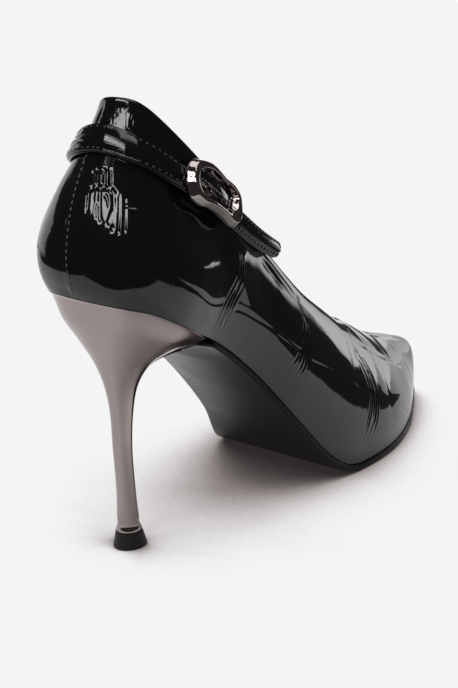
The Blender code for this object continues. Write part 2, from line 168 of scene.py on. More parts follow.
# Heel below its seat: back x, back z, front x, front z, half width, share of the seat's outline.
HEEL = [
    ("cup", -24.6, 92.0, 14.6, 77.2, 20.3, 0.75),
    ("bowl", -19.8, 83.0, 8.4, 74.9, 14.6, 0.45),
    ("neck", -14.9, 73.5, 3.5, 71.0, 9.2, 0.2),
    ("shoulder", -11.4, 63.5, 0.0, 63.5, 5.4, 0.05),
    ("stem_top", -9.2, 52.5, -1.5, 53.0, 3.9, 0.0),
    ("stem_middle", -8.1, 39.5, -1.8, 39.5, 3.5, 0.0),
    ("stem_low", -6.5, 24.0, -0.2, 24.0, 3.4, 0.0),
    ("ankle", -6.0, 13.0, 1.2, 13.0, 3.8, 0.0),
    ("foot", -6.3, 6.7, 2.6, 6.7, 4.6, 0.0),
]

ANKLE_PINCH = 0.1          # waist of the stem just over the tip
ANKLE_HEIGHT = 9.3
ANKLE_SPAN = 1.7
STEM_TURN = math.radians(132.0)    # how far the stem's round back goes before its flat front

# Rubber tip: back x, front x, half width, z.
TIP = [
    (-6.1, 2.4, 4.4, 6.4),
    (-6.4, 2.7, 4.7, 6.25),
    (-6.85, 3.55, 5.2, 3.4),
    (-7.3, 4.4, 5.75, 0.7),
    (-7.25, 4.35, 5.7, 0.25),
    (-7.0, 4.1, 5.45, 0.0),
]

# Strap along the wall: station (inner side negative), middle below the topline, width.
STRAP = [
    (-2.6, 12.0, 7.8),
    (-2.0, 14.6, 8.2),
    (-1.5, 16.3, 8.8),
    (-1.0, 16.3, 9.4),
    (-0.5, 15.0, 9.9),
    (0.0, 14.0, 10.0),
    (0.5, 15.0, 9.8),
    (1.0, 16.5, 9.2),
    (1.5, 16.5, 8.5),
    (2.25, 13.6, 7.8),
    (3.3, 8.0, 7.2),
    (4.15, 0.0, 6.6),
]

# Square, slightly rounded end of the strap: distance from the end, share of the width.
STRAP_END = [
    (0.0, 0.56),
    (0.2, 0.67),
    (0.5, 0.78),
    (0.9, 0.87),
    (1.3, 0.93),
    (1.9, 0.98),
    (2.6, 1.0),
]

# Half section of the strap, a front layer on a wider back layer:
# distance in from the edge, height over the strap's back.
STRAP_SECTION = [
    (0.25, 0.0),
    (0.0, 0.12),
    (0.0, 0.72),
    (0.1, 0.84),
    (0.45, 0.9),
    (0.3, 1.02),
    (0.2, 1.2),
    (0.22, 1.55),
    (0.34, 1.86),
    (0.58, 2.09),
    (0.86, 2.18),
    (1.12, 2.06),
    (1.34, 2.06),
    (1.56, 2.18),
    (1.9, 2.22),
]
# Creases along the strap where it bends round the back: across it, first and last length, depth.
STRAP_CREASES = [
    (2.9, -74.0, -49.0, 0.3),
    (0.9, -72.0, -45.0, 0.42),
    (-1.3, -70.0, -48.0, 0.36),
    (-2.9, -66.0, -52.0, 0.22),
    (0.3, -24.0, -15.0, 0.12),
]
CREASE_WIDTH = 0.42
STITCH_INSET = 1.23        # stitch rows, in from the strap's edge
STITCH_START = 2.0         # first stitch, from the strap's fixed end
STITCH_STOP = 2.2          # last stitch, from its free end
STITCH_SINK = 0.06         # middle of a stitch, below the strap's face
STRAP_PITCH = 2.3          # from stitch to stitch on the strap
SEAM_PITCH = 2.4           # from stitch to stitch on the back seam
STRAP_STITCH = (1.15, 0.23)    # length and radius of a stitch
END_STITCH = (1.5, 0.2)
SEAM_STITCH = (1.5, 0.26)

# Outlines of the buckle's band: outer and then inner, along the strap and across it (up positive).
BUCKLE = [
    (-12.7, -0.4, -8.6, -0.6),
    (-13.2, 3.0, -8.6, 2.0),
    (-11.6, 6.7, -7.0, 3.7),
    (-6.0, 8.3, -3.6, 5.0),
    (-0.5, 8.0, -0.4, 5.1),
    (4.5, 7.0, 4.0, 4.8),
    (9.5, 7.2, 8.6, 4.9),
    (14.4, 5.6, 12.0, 4.2),
    (17.0, 1.8, 12.5, 2.0),
    (18.6, -1.5, 12.0, -0.2),
    (18.5, -3.9, 10.6, -1.8),
    (15.6, -5.9, 8.8, -3.2),
    (8.5, -5.9, 6.4, -3.9),
    (4.3, -6.2, 3.4, -4.2),
    (-0.5, -7.0, -0.6, -4.3),
    (-5.0, -7.8, -3.8, -4.2),
    (-9.8, -6.8, -6.4, -3.2),
    (-11.8, -3.6, -7.9, -2.2),
]
BUCKLE_HEIGHT = 4.4

# Section of the buckle's band with a narrow face and two sloping flanks: across it, out from the strap.
BUCKLE_SECTION = [
    (1.0, -0.5),
    (0.95, -0.2),
    (0.74, 0.34),
    (0.54, 0.84),
    (0.4, 0.98),
    (0.0, 1.03),
    (-0.4, 0.98),
    (-0.54, 0.84),
    (-0.74, 0.34),
    (-0.95, -0.2),
    (-1.0, -0.5),
    (-0.97, -0.85),
    (-0.8, -1.0),
    (0.0, -1.0),
    (0.8, -1.0),
    (0.97, -0.85),
]

# Grooves between the embossed scales: depth, width above or behind, width below or ahead,
# and the line as station and share of the wall's height.
GROOVES = {
    "side_back": (0.17, 0.9, 0.55, [
        (1.1, 0.29), (1.5, 0.27), (1.85, 0.23), (2.2, 0.21), (2.58, 0.19), (2.83, 0.21), (3.03, 0.26)]),
    "side_waist": (0.17, 0.9, 0.55, [
        (3.2, 0.23), (3.35, 0.27), (3.75, 0.33), (4.1, 0.38), (4.35, 0.42), (4.58, 0.45), (4.75, 0.47),
        (4.9, 0.51)]),
    "side_vamp": (0.16, 0.7, 0.55, [
        (4.95, 0.47), (5.1, 0.49), (5.3, 0.52), (5.6, 0.54), (5.88, 0.53), (6.12, 0.47), (6.33, 0.42)]),
    "toe_top": (0.26, 0.7, 0.7, [(6.5, 0.72), (6.75, 0.66), (7.35, 0.57), (7.8, 0.53), (8.25, 0.44)]),
    "toe_ridge": (0.16, 0.9, 0.9, [(7.6, 0.95), (8.5, 0.86), (9.1, 0.84), (9.8, 0.7)]),
    "toe_cross": (0.2, 0.8, 0.8, [
        (8.43, 0.75), (8.45, 0.69), (8.47, 0.55), (8.53, 0.4), (8.6, 0.3), (8.55, 0.16)]),
    "toe_low": (0.12, 0.8, 0.8, [(7.35, 0.2), (7.6, 0.15), (7.85, 0.08)]),
    "counter_low": (0.05, 0.6, 0.6, [(0.1, 0.37), (0.3, 0.39), (0.5, 0.38), (0.75, 0.36), (1.0, 0.37)]),
    "quarter": (0.08, 0.8, 0.8, [(0.85, 0.57), (1.18, 0.58), (1.6, 0.57)]),
}

# Bundles of fine creases across the wall: depth, width, fan of sideways offsets, and the middle line.
BUNDLES = {
    "breast_bundle": (0.14, 0.4, (-5.6, -3.4, -1.7, 0.0, 1.6, 3.4), [
        (3.15, 0.76), (3.2, 0.66), (3.26, 0.6), (3.27, 0.5), (3.24, 0.4), (3.13, 0.27), (3.05, 0.12),
        (2.98, 0.04)]),
    "arch_bundle": (0.14, 0.4, (-8.0, -5.0, -2.4, -0.9, 0.6, 2.4), [
        (4.73, 0.97), (4.79, 0.9), (4.85, 0.84), (4.92, 0.77), (4.98, 0.71), (4.95, 0.63), (4.89, 0.53),
        (4.87, 0.43), (4.75, 0.28), (4.58, 0.1)]),
    "vamp_bundle": (0.16, 0.44, (-9.0, -5.8, -3.2, -1.3, 0.5, 2.3), [
        (6.58, 0.97), (6.38, 0.8), (6.3, 0.68), (6.4, 0.6), (6.47, 0.53), (6.52, 0.46), (6.53, 0.39),
        (6.5, 0.33), (6.42, 0.25), (6.28, 0.17), (6.05, 0.09)]),
}

# Furrows between the small scales on the counter: width, and the line as station (inner side negative)
# and share of the wall's height.
FURROWS = [
    (0.45, [(-0.34, 0.74), (-0.3, 0.57), (-0.26, 0.4)]),
    (0.45, [(-0.12, 0.72), (-0.06, 0.58), (-0.1, 0.44)]),
    (0.6, [(0.045, 0.7), (0.105, 0.655), (0.17, 0.61)]),
    (0.6, [(0.155, 0.71), (0.22, 0.665), (0.27, 0.62)]),
    (0.6, [(0.32, 0.71), (0.375, 0.67), (0.42, 0.62)]),
    (0.6, [(0.45, 0.71), (0.495, 0.665), (0.53, 0.63)]),
    (0.5, [(0.105, 0.6), (0.16, 0.545), (0.2, 0.5)]),
    (0.6, [(0.33, 0.63), (0.4, 0.545), (0.485, 0.46)]),
    (0.7, [(0.555, 0.63), (0.63, 0.555), (0.615, 0.45)]),
    (0.7, [(0.61, 0.61), (0.68, 0.525), (0.695, 0.42)]),
    (0.7, [(0.685, 0.61), (0.745, 0.525), (0.78, 0.41)]),
    (0.6, [(0.79, 0.6), (0.83, 0.51), (0.86, 0.42)]),
    (0.35, [(0.35, 0.55), (0.36, 0.52), (0.4, 0.48)]),
    (0.35, [(0.425, 0.6), (0.51, 0.58), (0.57, 0.54)]),
    (0.6, [
        (-0.05, 0.59), (0.05, 0.6), (0.165, 0.615), (0.29, 0.625), (0.43, 0.625), (0.565, 0.62),
        (0.69, 0.6)]),
    (0.5, [(0.1, 0.7), (0.2, 0.705), (0.34, 0.7)]),
    (0.4, [(0.79, 0.56), (1.0, 0.565), (1.3, 0.59)]),
]
FURROW_DEPTH = 0.26

# Swell of the quarter at the breast bundle: distance ahead of the bundle, height.
SWELL = [
    (-60.0, 0.0),
    (-46.0, -0.7),
    (-34.0, -1.2),
    (-24.0, -0.8),
    (-13.0, 0.1),
    (-3.0, 0.95),
    (1.0, 0.9),
    (10.0, 0.1),
    (20.0, -0.9),
    (30.0, -1.15),
    (42.0, -0.85),
    (56.0, -0.35),
    (70.0, 0.0),
]
SWELL_STATION = 3.27

# Lapped back seam: station (inner side negative), share of the wall's height.
SEAM = [
    (-0.02, 0.02),
    (-0.03, 0.12),
    (-0.06, 0.23),
    (-0.11, 0.38),
    (-0.22, 0.55),
    (-0.3, 0.7),
    (-0.3, 0.8),
    (-0.24, 0.93),
    (-0.2, 1.0),
]
SEAM_STEP = 0.32           # height of the lapped edge
SEAM_LAP = 1.5             # lapped edge, past its stitches
ROLL_DEPTH = 1.5           # lean of the wall at the topline, and how far down it starts
ROLL_SPAN = 8.5
HEM_FADE = 0.04            # the relief ends over these shares of the wall's height
RIM_FADE = 0.03
TOE_FADE = 0.5             # and over this many stations at the toe

# Mesh of the upper: rows of the outer face, the lining and the rolled rim, columns of both sides to the
# throat and of each side past it.
OUTER_ROWS = 106
LINING_ROWS = 12
RIM_TURNS = 6
OUTER_COLUMNS = 440
INNER_COLUMNS = 130
TOE_COLUMNS = 96
CREASE_DENSITY = 3.2       # columns lie this much closer at the bundles of creases
COUNTER_DENSITY = 2.2      # and at the counter
CHART_UNIT = 100.0         # millimetres to one unit of the chart that the finish reads
MEASURED_ROW = 28          # row of the chart on which lengths along the shoe are measured
STRAP_CHART_STEP = 0.006   # from row to row of the strap's own chart
WELD_DISTANCE = 2e-6

STATIONS = len(FEATHER) - 1
THROAT = len(TOPLINE) - 1
BREAST = 3
TINY = 1e-9

# The frame's own place of the heel tip shifts everything that is worked out here.
tip_low, tip_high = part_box("heel_tip")
TIP_MIDDLE = (min(r[0] for r in TIP) + max(r[1] for r in TIP)) / 2
SHIFT = np.array([(tip_low.x + tip_high.x) / 2 / MM - TIP_MIDDLE, (tip_low.y + tip_high.y) / 2 / MM, 0.0])


# Curves through tables

def catmull(rows, t, closed=False):
    """Points of a Catmull-Rom curve through the rows, at row numbers t."""
    rows = np.asarray(rows, float)
    count = len(rows)
    t = np.atleast_1d(np.asarray(t, float))
    last = count - 1 if closed else count - 2
    i = np.clip(np.floor(t).astype(int), 0, last)
    f = (t - i)[:, None]
    if closed:
        p0, p1, p2, p3 = (rows[(i + k) % count] for k in (-1, 0, 1, 2))
    else:
        ends = np.vstack([2 * rows[0] - rows[1], rows, 2 * rows[-1] - rows[-2]])
        p0, p1, p2, p3 = (ends[np.clip(i + k, 0, count + 1)] for k in (0, 1, 2, 3))
    a = 2 * p0 - 5 * p1 + 4 * p2 - p3
    b = 3 * p1 - p0 - 3 * p2 + p3
    return 0.5 * (2 * p1 + (p2 - p0) * f + a * f * f + b * f ** 3)


def profile(rows, x):
    """Smooth curve through rows whose first column is x."""
    rows = np.asarray(rows, float)
    xs = rows[:, 0]
    ys = rows[:, 1:]
    slope = np.gradient(ys, xs, axis=0)
    x = np.atleast_1d(np.asarray(x, float))
    i = np.clip(np.searchsorted(xs, x) - 1, 0, len(xs) - 2)
    h = (xs[i + 1] - xs[i])[:, None]
    f = np.clip((x - xs[i])[:, None] / h, 0.0, 1.0)
    h00 = 2 * f ** 3 - 3 * f ** 2 + 1
    h10 = f ** 3 - 2 * f ** 2 + f
    h01 = 3 * f ** 2 - 2 * f ** 3
    h11 = f ** 3 - f ** 2
    return h00 * ys[i] + h10 * h * slope[i] + h01 * ys[i + 1] + h11 * h * slope[i + 1]


def unit(vectors):
    """Vectors of length one."""
    return vectors / np.maximum(np.linalg.norm(vectors, axis=-1, keepdims=True), TINY)


def lengths_along(points):
    """Length from the first point to each point of a line."""
    steps = np.linalg.norm(np.diff(points, axis=0), axis=1)
    return np.concatenate([[0.0], np.cumsum(steps)])


# The last

def bottom(x):
    """Height of the feather line at x."""
    return np.maximum(profile(BOTTOM, x)[:, 0], FEATHER_FLOOR)


def closed_loop(outer, inner):
    """One loop from the back along the outer side to the front, and back along the inner side."""
    return np.array(list(outer) + list(inner)[-2:0:-1], float)


def feather(side, s):
    """Points of the feather line in plan, and its outward direction, at stations s."""
    loop = closed_loop([(r[1], r[2]) for r in FEATHER], [(r[1], r[3]) for r in FEATHER])
    count = len(loop)
    s = np.atleast_1d(np.asarray(s, float))
    t = s if side < 0 else count - s
    step = 0.001
    point, ahead, behind = (catmull(loop, np.mod(t + d, count), True) for d in (0.0, step, -step))
    along = unit(ahead - behind)
    return point, np.column_stack([along[:, 1], -along[:, 0]])


def top_edge(side, s):
    """Topline, and after the throat the ridge, with the ridge's direction, at stations s."""
    outer = [(r[0], r[1], r[3]) for r in TOPLINE]
    inner = [(r[0], r[2], r[4]) for r in TOPLINE]
    loop = closed_loop(outer, inner)
    count = len(loop)
    s = np.asarray(s, float)
    on_topline = s <= THROAT
    t = s if side < 0 else count - s
    line = catmull(loop, np.mod(np.where(on_topline, t, 0.0), count), True)
    u = np.clip(s - THROAT, 0.0, len(RIDGE) - 1)
    step = 0.001
    end = len(RIDGE) - 1
    along = unit(catmull(RIDGE, np.clip(u + step, 0, end)) - catmull(RIDGE, np.clip(u - step, 0, end)))
    return np.where(on_topline[:, None], line, catmull(RIDGE, u)), along


def last_surface(side, s, v):
    """Outer face of the upper: stations s along the shoe, v from the feather line up."""
    s = np.atleast_1d(np.asarray(s, float))
    v = np.atleast_1d(np.asarray(v, float))
    plan, out = feather(side, s)
    low = np.column_stack([plan, bottom(plan[:, 0])])
    high, along = top_edge(side, s)
    full = catmull(WALL, s)
    out3 = np.column_stack([out, 0 * s])
    over = np.column_stack([0 * s, out[:, 1], 0 * s]) + along * out[:, :1]
    mix = np.clip(s - (THROAT - 1), 0.0, 1.0)[:, None]
    out_top = out3 * (1 - mix) + over * mix
    low_arm = low + out3 * full[:, 0:1] + UP * full[:, 1:2]
    high_arm = high + out_top * full[:, 2:3] - UP * full[:, 3:4]
    w = v[None, :, None]
    a = (1 - w) ** 3 * low[:, None]
    b = 3 * w * (1 - w) ** 2 * low_arm[:, None]
    c = 3 * w * w * (1 - w) * high_arm[:, None]
    return a + b + c + w ** 3 * high[:, None]


class WallChart:
    """Flat chart of one side of the upper: lengths in millimetres along the shoe and up the wall."""

    def __init__(self, side):
        self.side = side
        self.stations = np.linspace(0.0, STATIONS, 441)
        self.shares = np.linspace(0.0, 1.0, 61)
        points = last_surface(side, self.stations, self.shares)
        self.along = -side * lengths_along(points[:, MEASURED_ROW])
        steps = np.linalg.norm(np.diff(points, axis=1), axis=2)
        self.up = np.concatenate([np.zeros((len(self.stations), 1)), np.cumsum(steps, axis=1)], axis=1)

    def lay(self, s, v):
        """Chart places of points at stations s and shares v."""
        s = np.asarray(s, float)
        v = np.asarray(v, float)
        i = np.clip(s / self.stations[1], 0, len(self.stations) - 1.001)
        j = np.clip(v / self.shares[1], 0, len(self.shares) - 1.001)
        i0 = i.astype(int)
        j0 = j.astype(int)
        fi = i - i0
        fj = j - j0
        low = self.up[i0, j0] * (1 - fi) + self.up[i0 + 1, j0] * fi
        high = self.up[i0, j0 + 1] * (1 - fi) + self.up[i0 + 1, j0 + 1] * fi
        return np.stack([np.interp(s, self.stations, self.along), low * (1 - fj) + high * fj], axis=-1)


CHARTS = {side: WallChart(side) for side in (-1, 1)}


# Embossed relief of the upper

def fine_line(rows, count=60):
    """Smooth line of many points through a few rows."""
    return catmull(rows, np.linspace(0, len(rows) - 1, count))


def off_line(places, line, reach):
    """Signed distance from a chart line and share along it, for the places within reach of it."""
    near = np.all((places > line.min(axis=0) - reach) & (places < line.max(axis=0) + reach), axis=-1)
    spots = places[near]
    best = np.full(len(spots), 1e9)
    signed = np.zeros(len(spots))
    share = np.zeros(len(spots))
    for k, (a, b) in enumerate(zip(line, line[1:])):
        step = b - a
        t = np.clip(((spots - a) @ step) / max(step @ step, TINY), 0.0, 1.0)
        gap = spots - a - t[:, None] * step
        distance = np.hypot(gap[:, 0], gap[:, 1])
        closer = distance < best
        best = np.where(closer, distance, best)
        turn = step[0] * gap[:, 1] - step[1] * gap[:, 0]
        signed = np.where(closer, np.where(turn >= 0, distance, -distance), signed)
        share = np.where(closer, (k + t) / (len(line) - 1), share)
    return near, signed, share


def ends_fade(share, span=0.12):
    """1 along a line, falling to 0 at its two ends."""
    return smooth(np.minimum(share, 1 - share) / span)


def trough(signed, above, below):
    """Soft groove: a dip with shoulders of two widths and a low ridge on each side."""
    width = np.where(signed > 0, above, below)
    r = np.abs(signed) / width
    return -np.exp(-r * r) + 0.22 * np.exp(-((r - 2.1) / 0.8) ** 2)


def groove_relief(places, side):
    """Height of the grooves and creases over the smooth last, in millimetres."""
    chart = CHARTS[side]
    height = np.zeros(places.shape[:-1])
    for depth, above, below, rows in GROOVES.values():
        s, v = fine_line(rows).T
        near, signed, share = off_line(places, chart.lay(s, v), 4 * max(above, below))
        height[near] += depth * ends_fade(share) * trough(-side * signed, above, below)
    for number, (depth, width, fan, rows) in enumerate(BUNDLES.values()):
        s, v = fine_line(rows, 90).T
        middle = chart.lay(s, v)
        end = len(middle) - 1
        down = np.linspace(0.0, 1.0, len(middle))
        for k, offset in enumerate(fan):
            line = middle.copy()
            wander = 0.45 * np.sin(9 * down + 2.1 * k + number)
            line[:, 0] += -side * (offset * (0.25 + 0.75 * down ** 1.4) + wander)
            start = 0.06 * ((3 * k + number) % 5)
            stop = 1 - 0.05 * ((2 * k + number) % 4)
            part = line[int(start * end):int(stop * end) + 1]
            near, signed, share = off_line(places, part, 5 * width)
            weight = depth * (1.0 if offset == 0.0 else 0.62)
            weight = weight * (0.9 + 1.9 * share)
            height[near] += weight * ends_fade(share, 0.2) * trough(signed, width, width)
    return height


def furrow_relief(places):
    """Height of the furrows between the counter's scales."""
    height = np.zeros(places.shape[:-1])
    for width, rows in FURROWS:
        s, v = fine_line(rows, 40).T
        near, signed, share = off_line(places, signed_place(s, v), 5 * width)
        height[near] += FURROW_DEPTH * ends_fade(share, 0.08) * trough(signed, width, width)
    return height


def signed_place(s, v):
    """Chart places at stations that are negative on the inner side."""
    s = np.asarray(s, float)
    outer = CHARTS[-1].lay(np.maximum(s, 0), v)
    inner = CHARTS[1].lay(np.maximum(-s, 0), v)
    return np.where((s >= 0)[:, None], outer, inner)


def seam_relief(places):
    """Step of the lapped back seam, gone a little way round the inner side."""
    s, v = fine_line(SEAM).T
    line = signed_place(s, v)
    edge = np.interp(places[..., 1], line[:, 1], line[:, 0]) - SEAM_LAP
    past = edge - places[..., 0]
    step = 1 / (1 + np.exp(-np.clip(past / 0.18, -40, 40)))
    return -SEAM_STEP * step * np.exp(-(np.maximum(past, 0.0) / 14.0) ** 2)


def smooth(t):
    """Soft step from 0 to 1."""
    t = np.clip(t, 0.0, 1.0)
    return t * t * (3 - 2 * t)


def pillow_relief(s2, places):
    """Slow swell of the leather between the grooves, calmer towards the toe."""
    u, w = places[..., 0], places[..., 1]
    height = 0.10 * np.sin(u / 5.2 + 0.6 * np.sin(w / 7.0)) * np.sin(w / 6.1 + 0.5)
    height += 0.05 * np.sin(u / 2.3 + w / 9.0) * np.cos(w / 3.7 - u / 11.0)
    return height * (1 - 0.75 * smooth((s2 - 2.5) / 1.5))


def crinkle_relief(s2, v2, places):
    """Fine crinkles of the counter above the strap."""
    u, w = places[..., 0], places[..., 1]
    fold = np.sin(2.7 * u + 1.4 * np.sin(1.3 * w)) * np.sin(1.9 * w + 1.6 * np.sin(1.1 * u))
    return 0.05 * fold * smooth((v2 - 0.8) / 0.05) * smooth((1.25 - s2) / 0.35)


def quarter_swell(side, v2, places):
    """Low swell of the quarter, its crest at the breast bundle."""
    crest = CHARTS[side].lay(SWELL_STATION, 0.6)[0]
    ahead = -side * (places[..., 0] - crest)
    height = profile(SWELL, np.clip(ahead, SWELL[0][0], SWELL[-1][0]).ravel())[:, 0].reshape(ahead.shape)
    return height * smooth((v2 - 0.34) / 0.2) * smooth((0.97 - v2) / 0.15)


def topline_roll(side, s, v):
    """How far the wall leans in towards the folded topline, at a mesh of stations s and shares v."""
    s2, v2 = np.meshgrid(s, v, indexing="ij")
    chart = CHARTS[side]
    drop = chart.lay(s2, np.ones_like(v2))[..., 1] - chart.lay(s2, v2)[..., 1]
    lean = np.clip(1 - drop / ROLL_SPAN, 0.0, 1.0) ** 2
    start = np.clip((s2 - 2.4) / 1.4, 0.0, 1.0)
    return -ROLL_DEPTH * lean * start * smooth((THROAT - s2) / 0.6)


def relief(side, s, v):
    """Height of the embossing at a mesh of stations s and shares v, nothing at the edges."""
    s2, v2 = np.meshgrid(s, v, indexing="ij")
    places = CHARTS[side].lay(s2, v2)
    height = groove_relief(places, side) + furrow_relief(places) + seam_relief(places)
    height += pillow_relief(s2, places) + crinkle_relief(s2, v2, places) + quarter_swell(side, v2, places)
    hem = np.clip(v2 / HEM_FADE, 0.0, 1.0)
    toe = np.clip((STATIONS - s2) / TOE_FADE, 0.0, 1.0)
    rim = np.where(s2 < THROAT, np.clip((1 - v2) / RIM_FADE, 0.0, 1.0), 1.0)
    return height * hem * toe * rim, places


# Building pieces

def lay_sheet(bm, places):
    """Adds a grid laid at places[column, row] to the mesh; gives its vertices by column and row."""
    columns, rows = places.shape[:2]
    grid = bmesh.ops.create_grid(bm, x_segments=columns - 1, y_segments=rows - 1, size=1.0)["verts"]
    points = (places.transpose(1, 0, 2).reshape(-1, 3) + SHIFT) * MM
    for vert, point in zip(grid, points):
        vert.co = point
    return [[grid[row * columns + column] for row in range(rows)] for column in range(columns)]


def weld(bm):
    """Merges the vertices that meet, closes what is open and turns the faces outwards."""
    bmesh.ops.remove_doubles(bm, verts=bm.verts, dist=WELD_DISTANCE)
    open_edges = [e for e in bm.edges if e.is_boundary]
    if open_edges:
        bmesh.ops.holes_fill(bm, edges=open_edges, sides=0)
    bmesh.ops.recalc_face_normals(bm, faces=bm.faces)


def make_piece(bm, name, materials, replaced=None, sharp=50.0):
    """Object of the finished mesh, riding on the shoe."""
    mesh = bpy.data.meshes.new(name)
    bm.to_mesh(mesh)
    bm.free()
    for material in materials:
        mesh.materials.append(material)
    mesh.shade_smooth()
    mesh.set_sharp_from_angle(angle=math.radians(sharp))
    piece = bpy.data.objects.new(name, mesh)
    bpy.context.scene.collection.objects.link(piece)
    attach(piece, "root")
    if replaced:
        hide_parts(replaced)
    return piece


def wrapped(places):
    """Closed rows: the first row repeated at the end."""
    return np.concatenate([places, places[:, :1]], axis=1)


def wall_columns(side):
    """Stations of the mesh's columns, close together at the bundles of creases on the outer side."""
    knots = np.linspace(0.0, THROAT, 1401)
    density = np.ones(len(knots))
    if side < 0:
        for _, _, _, rows in BUNDLES.values():
            low = min(r[0] for r in rows) - 0.2
            high = max(r[0] for r in rows) + 0.1
            density[(knots > low) & (knots < high)] = CREASE_DENSITY
        density[knots < 1.0] = COUNTER_DENSITY
    amount = np.concatenate([[0.0], np.cumsum((density[1:] + density[:-1]) / 2)])
    count = OUTER_COLUMNS if side < 0 else INNER_COLUMNS
    back = np.interp(np.linspace(0, amount[-1], count), amount, knots)
    front = THROAT + (STATIONS - THROAT) * np.linspace(0.0, 1.0, TOE_COLUMNS)[1:]
    return np.concatenate([back, front])


def wall_normals(points, side):
    """Outward directions of a mesh of wall points."""
    along = np.gradient(points, axis=0)
    up = np.gradient(points, axis=1)
    return unit(-side * np.cross(along, up))


def wall_sides(rows):
    """Columns, base points, outward directions, relief and chart of both sides, alike where they meet."""
    sides = {}
    for side in (-1, 1):
        columns = wall_columns(side)
        base = last_surface(side, columns, rows)
        roll = topline_roll(side, columns, rows)
        base = base + wall_normals(base, side) * roll[..., None]
        height, chart = relief(side, columns, rows)
        sides[side] = [columns, base, wall_normals(base, side), height, chart]
    front = {side: np.flatnonzero(sides[side][0] >= THROAT - TINY) for side in (-1, 1)}
    every_row = slice(None)
    for meeting_rows, where in ((every_row, {-1: 0, 1: 0}), (every_row, {-1: -1, 1: -1}), (-1, front)):
        for layer in (2, 3):
            mean = sum(sides[side][layer][where[side], meeting_rows] for side in (-1, 1)) / 2
            mean = unit(mean) if layer == 2 else mean
            for side in (-1, 1):
                sides[side][layer][where[side], meeting_rows] = mean
    return sides


def lay_chart(bm, places):
    """UV map of the mesh from the chart place of each vertex."""
    layer = bm.loops.layers.uv.new("chart")
    for face in bm.faces:
        for loop in face.loops:
            loop[layer].uv = places[loop.vert]


def make_upper(leather, lining):
    """Embossed outer face, rounded topline and plain lining, closed along the feather line."""
    outer_rows = np.linspace(0.0, 1.0, OUTER_ROWS)
    inner_rows = np.linspace(1.0, 0.0, LINING_ROWS)
    rim_turns = np.linspace(0.0, math.pi, RIM_TURNS)[1:-1]
    sides = wall_sides(outer_rows)
    bm = bmesh.new()
    uv_places = {}
    for side, (columns, base, normal, height, chart) in sides.items():
        outer = base + normal * height[..., None]
        pick = np.rint(inner_rows * (len(outer_rows) - 1)).astype(int)
        inner = base[:, pick] - normal[:, pick] * WALL_THICKNESS
        edge_along = unit(np.gradient(base[:, -1], axis=0))
        brim = unit(-side * np.cross(normal[:, -1], edge_along))
        half = WALL_THICKNESS / 2
        middle = base[:, -1] - normal[:, -1] * half
        rim = [middle + (normal[:, -1] * math.cos(a) + brim * math.sin(a)) * half for a in rim_turns]
        sheet = np.concatenate([outer, np.stack(rim, axis=1), inner, outer[:, :1]], axis=1)
        grid = lay_sheet(bm, sheet)
        rim_chart = np.repeat(chart[:, -1:], len(rim_turns), axis=1)
        flat = np.concatenate([chart, rim_chart, chart[:, pick], chart[:, :1]], axis=1)
        for column, line in enumerate(grid):
            for row, vert in enumerate(line):
                uv_places[vert] = flat[column, row] / CHART_UNIT
        first_rim = len(outer_rows) - 1
        last_rim = first_rim + len(rim_turns) + 1
        drop = []
        for column in range(len(columns) - 1):
            for row in range(first_rim, sheet.shape[1] - 1):
                corner = {grid[column][row], grid[column + 1][row + 1]}
                face = next(f for f in grid[column][row].link_faces if corner <= set(f.verts))
                if row < last_rim and columns[column] >= THROAT - TINY:
                    drop.append(face)
                elif row >= last_rim:
                    face.material_index = 1
        bmesh.ops.delete(bm, geom=drop, context="FACES")
    lay_chart(bm, uv_places)
    weld(bm)
    return make_piece(bm, "upper_skin", [leather, lining], "upper", sharp=70.0)


def make_insole(lining):
    """Sock lining: a plate with rounded edges on the sole and the heel seat."""
    stations = np.concatenate([np.linspace(0.22, 3.0, 40), np.linspace(3.05, 10.5, 110)])
    edges = []
    for side in (-1, 1):
        plan, out = feather(side, stations)
        edges.append(plan - out * INSOLE_INSET)
    turn = np.linspace(0.0, 1.0, 13)
    rounding = [(0.0, 0.0), (0.0, 1.4), (0.25, 1.8), (0.7, 2.0)]
    rings = []
    for outer, inner in zip(*edges):
        ring = []
        for inset, height in rounding:
            ring.append((0.0, inset, height))
        for share in turn[1:-1]:
            ring.append((share, 0.0, INSOLE_THICKNESS))
        for inset, height in rounding[::-1]:
            ring.append((1.0, -inset, height))
        points = []
        for share, inset, height in ring:
            plan = outer + (inner - outer) * share + unit(inner - outer) * inset
            points.append((plan[0], plan[1], bottom(plan[0])[0] + 0.1 + height))
        rings.append(points)
    bm = bmesh.new()
    lay_sheet(bm, wrapped(np.array(rings)))
    weld(bm)
    return make_piece(bm, "sock_lining", [lining], "insole")


def heel_outline(share, count=60):
    """Section outline with eased corners: depth 0 at the back to 1 at the front, width -1 to 1."""
    back = np.linspace(0.0, 1.0, count)
    plan, _ = feather(-1, back * BREAST)
    depth_seat = (plan[:, 0] - FEATHER[0][1]) / (FEATHER[BREAST][1] - FEATHER[0][1])
    width_seat = plan[:, 1] / abs(FEATHER[2][2])
    depth_stem = (1 - np.cos(back * STEM_TURN)) / (1 - math.cos(STEM_TURN))
    width_stem = -np.sin(back * STEM_TURN)
    depth = share * depth_seat + (1 - share) * depth_stem
    width = share * width_seat + (1 - share) * width_stem
    front = np.linspace(width[-1], -width[-1], 33)[1:-1]
    depth = np.concatenate([depth, np.ones(len(front)), depth[:0:-1]])
    width = np.concatenate([width, front, -width[:0:-1]])
    line = np.column_stack([depth, width])
    for _ in range(2):
        line = (np.roll(line, 1, axis=0) + 2 * line + np.roll(line, -1, axis=0)) / 4
    return line[:, 0], line[:, 1]


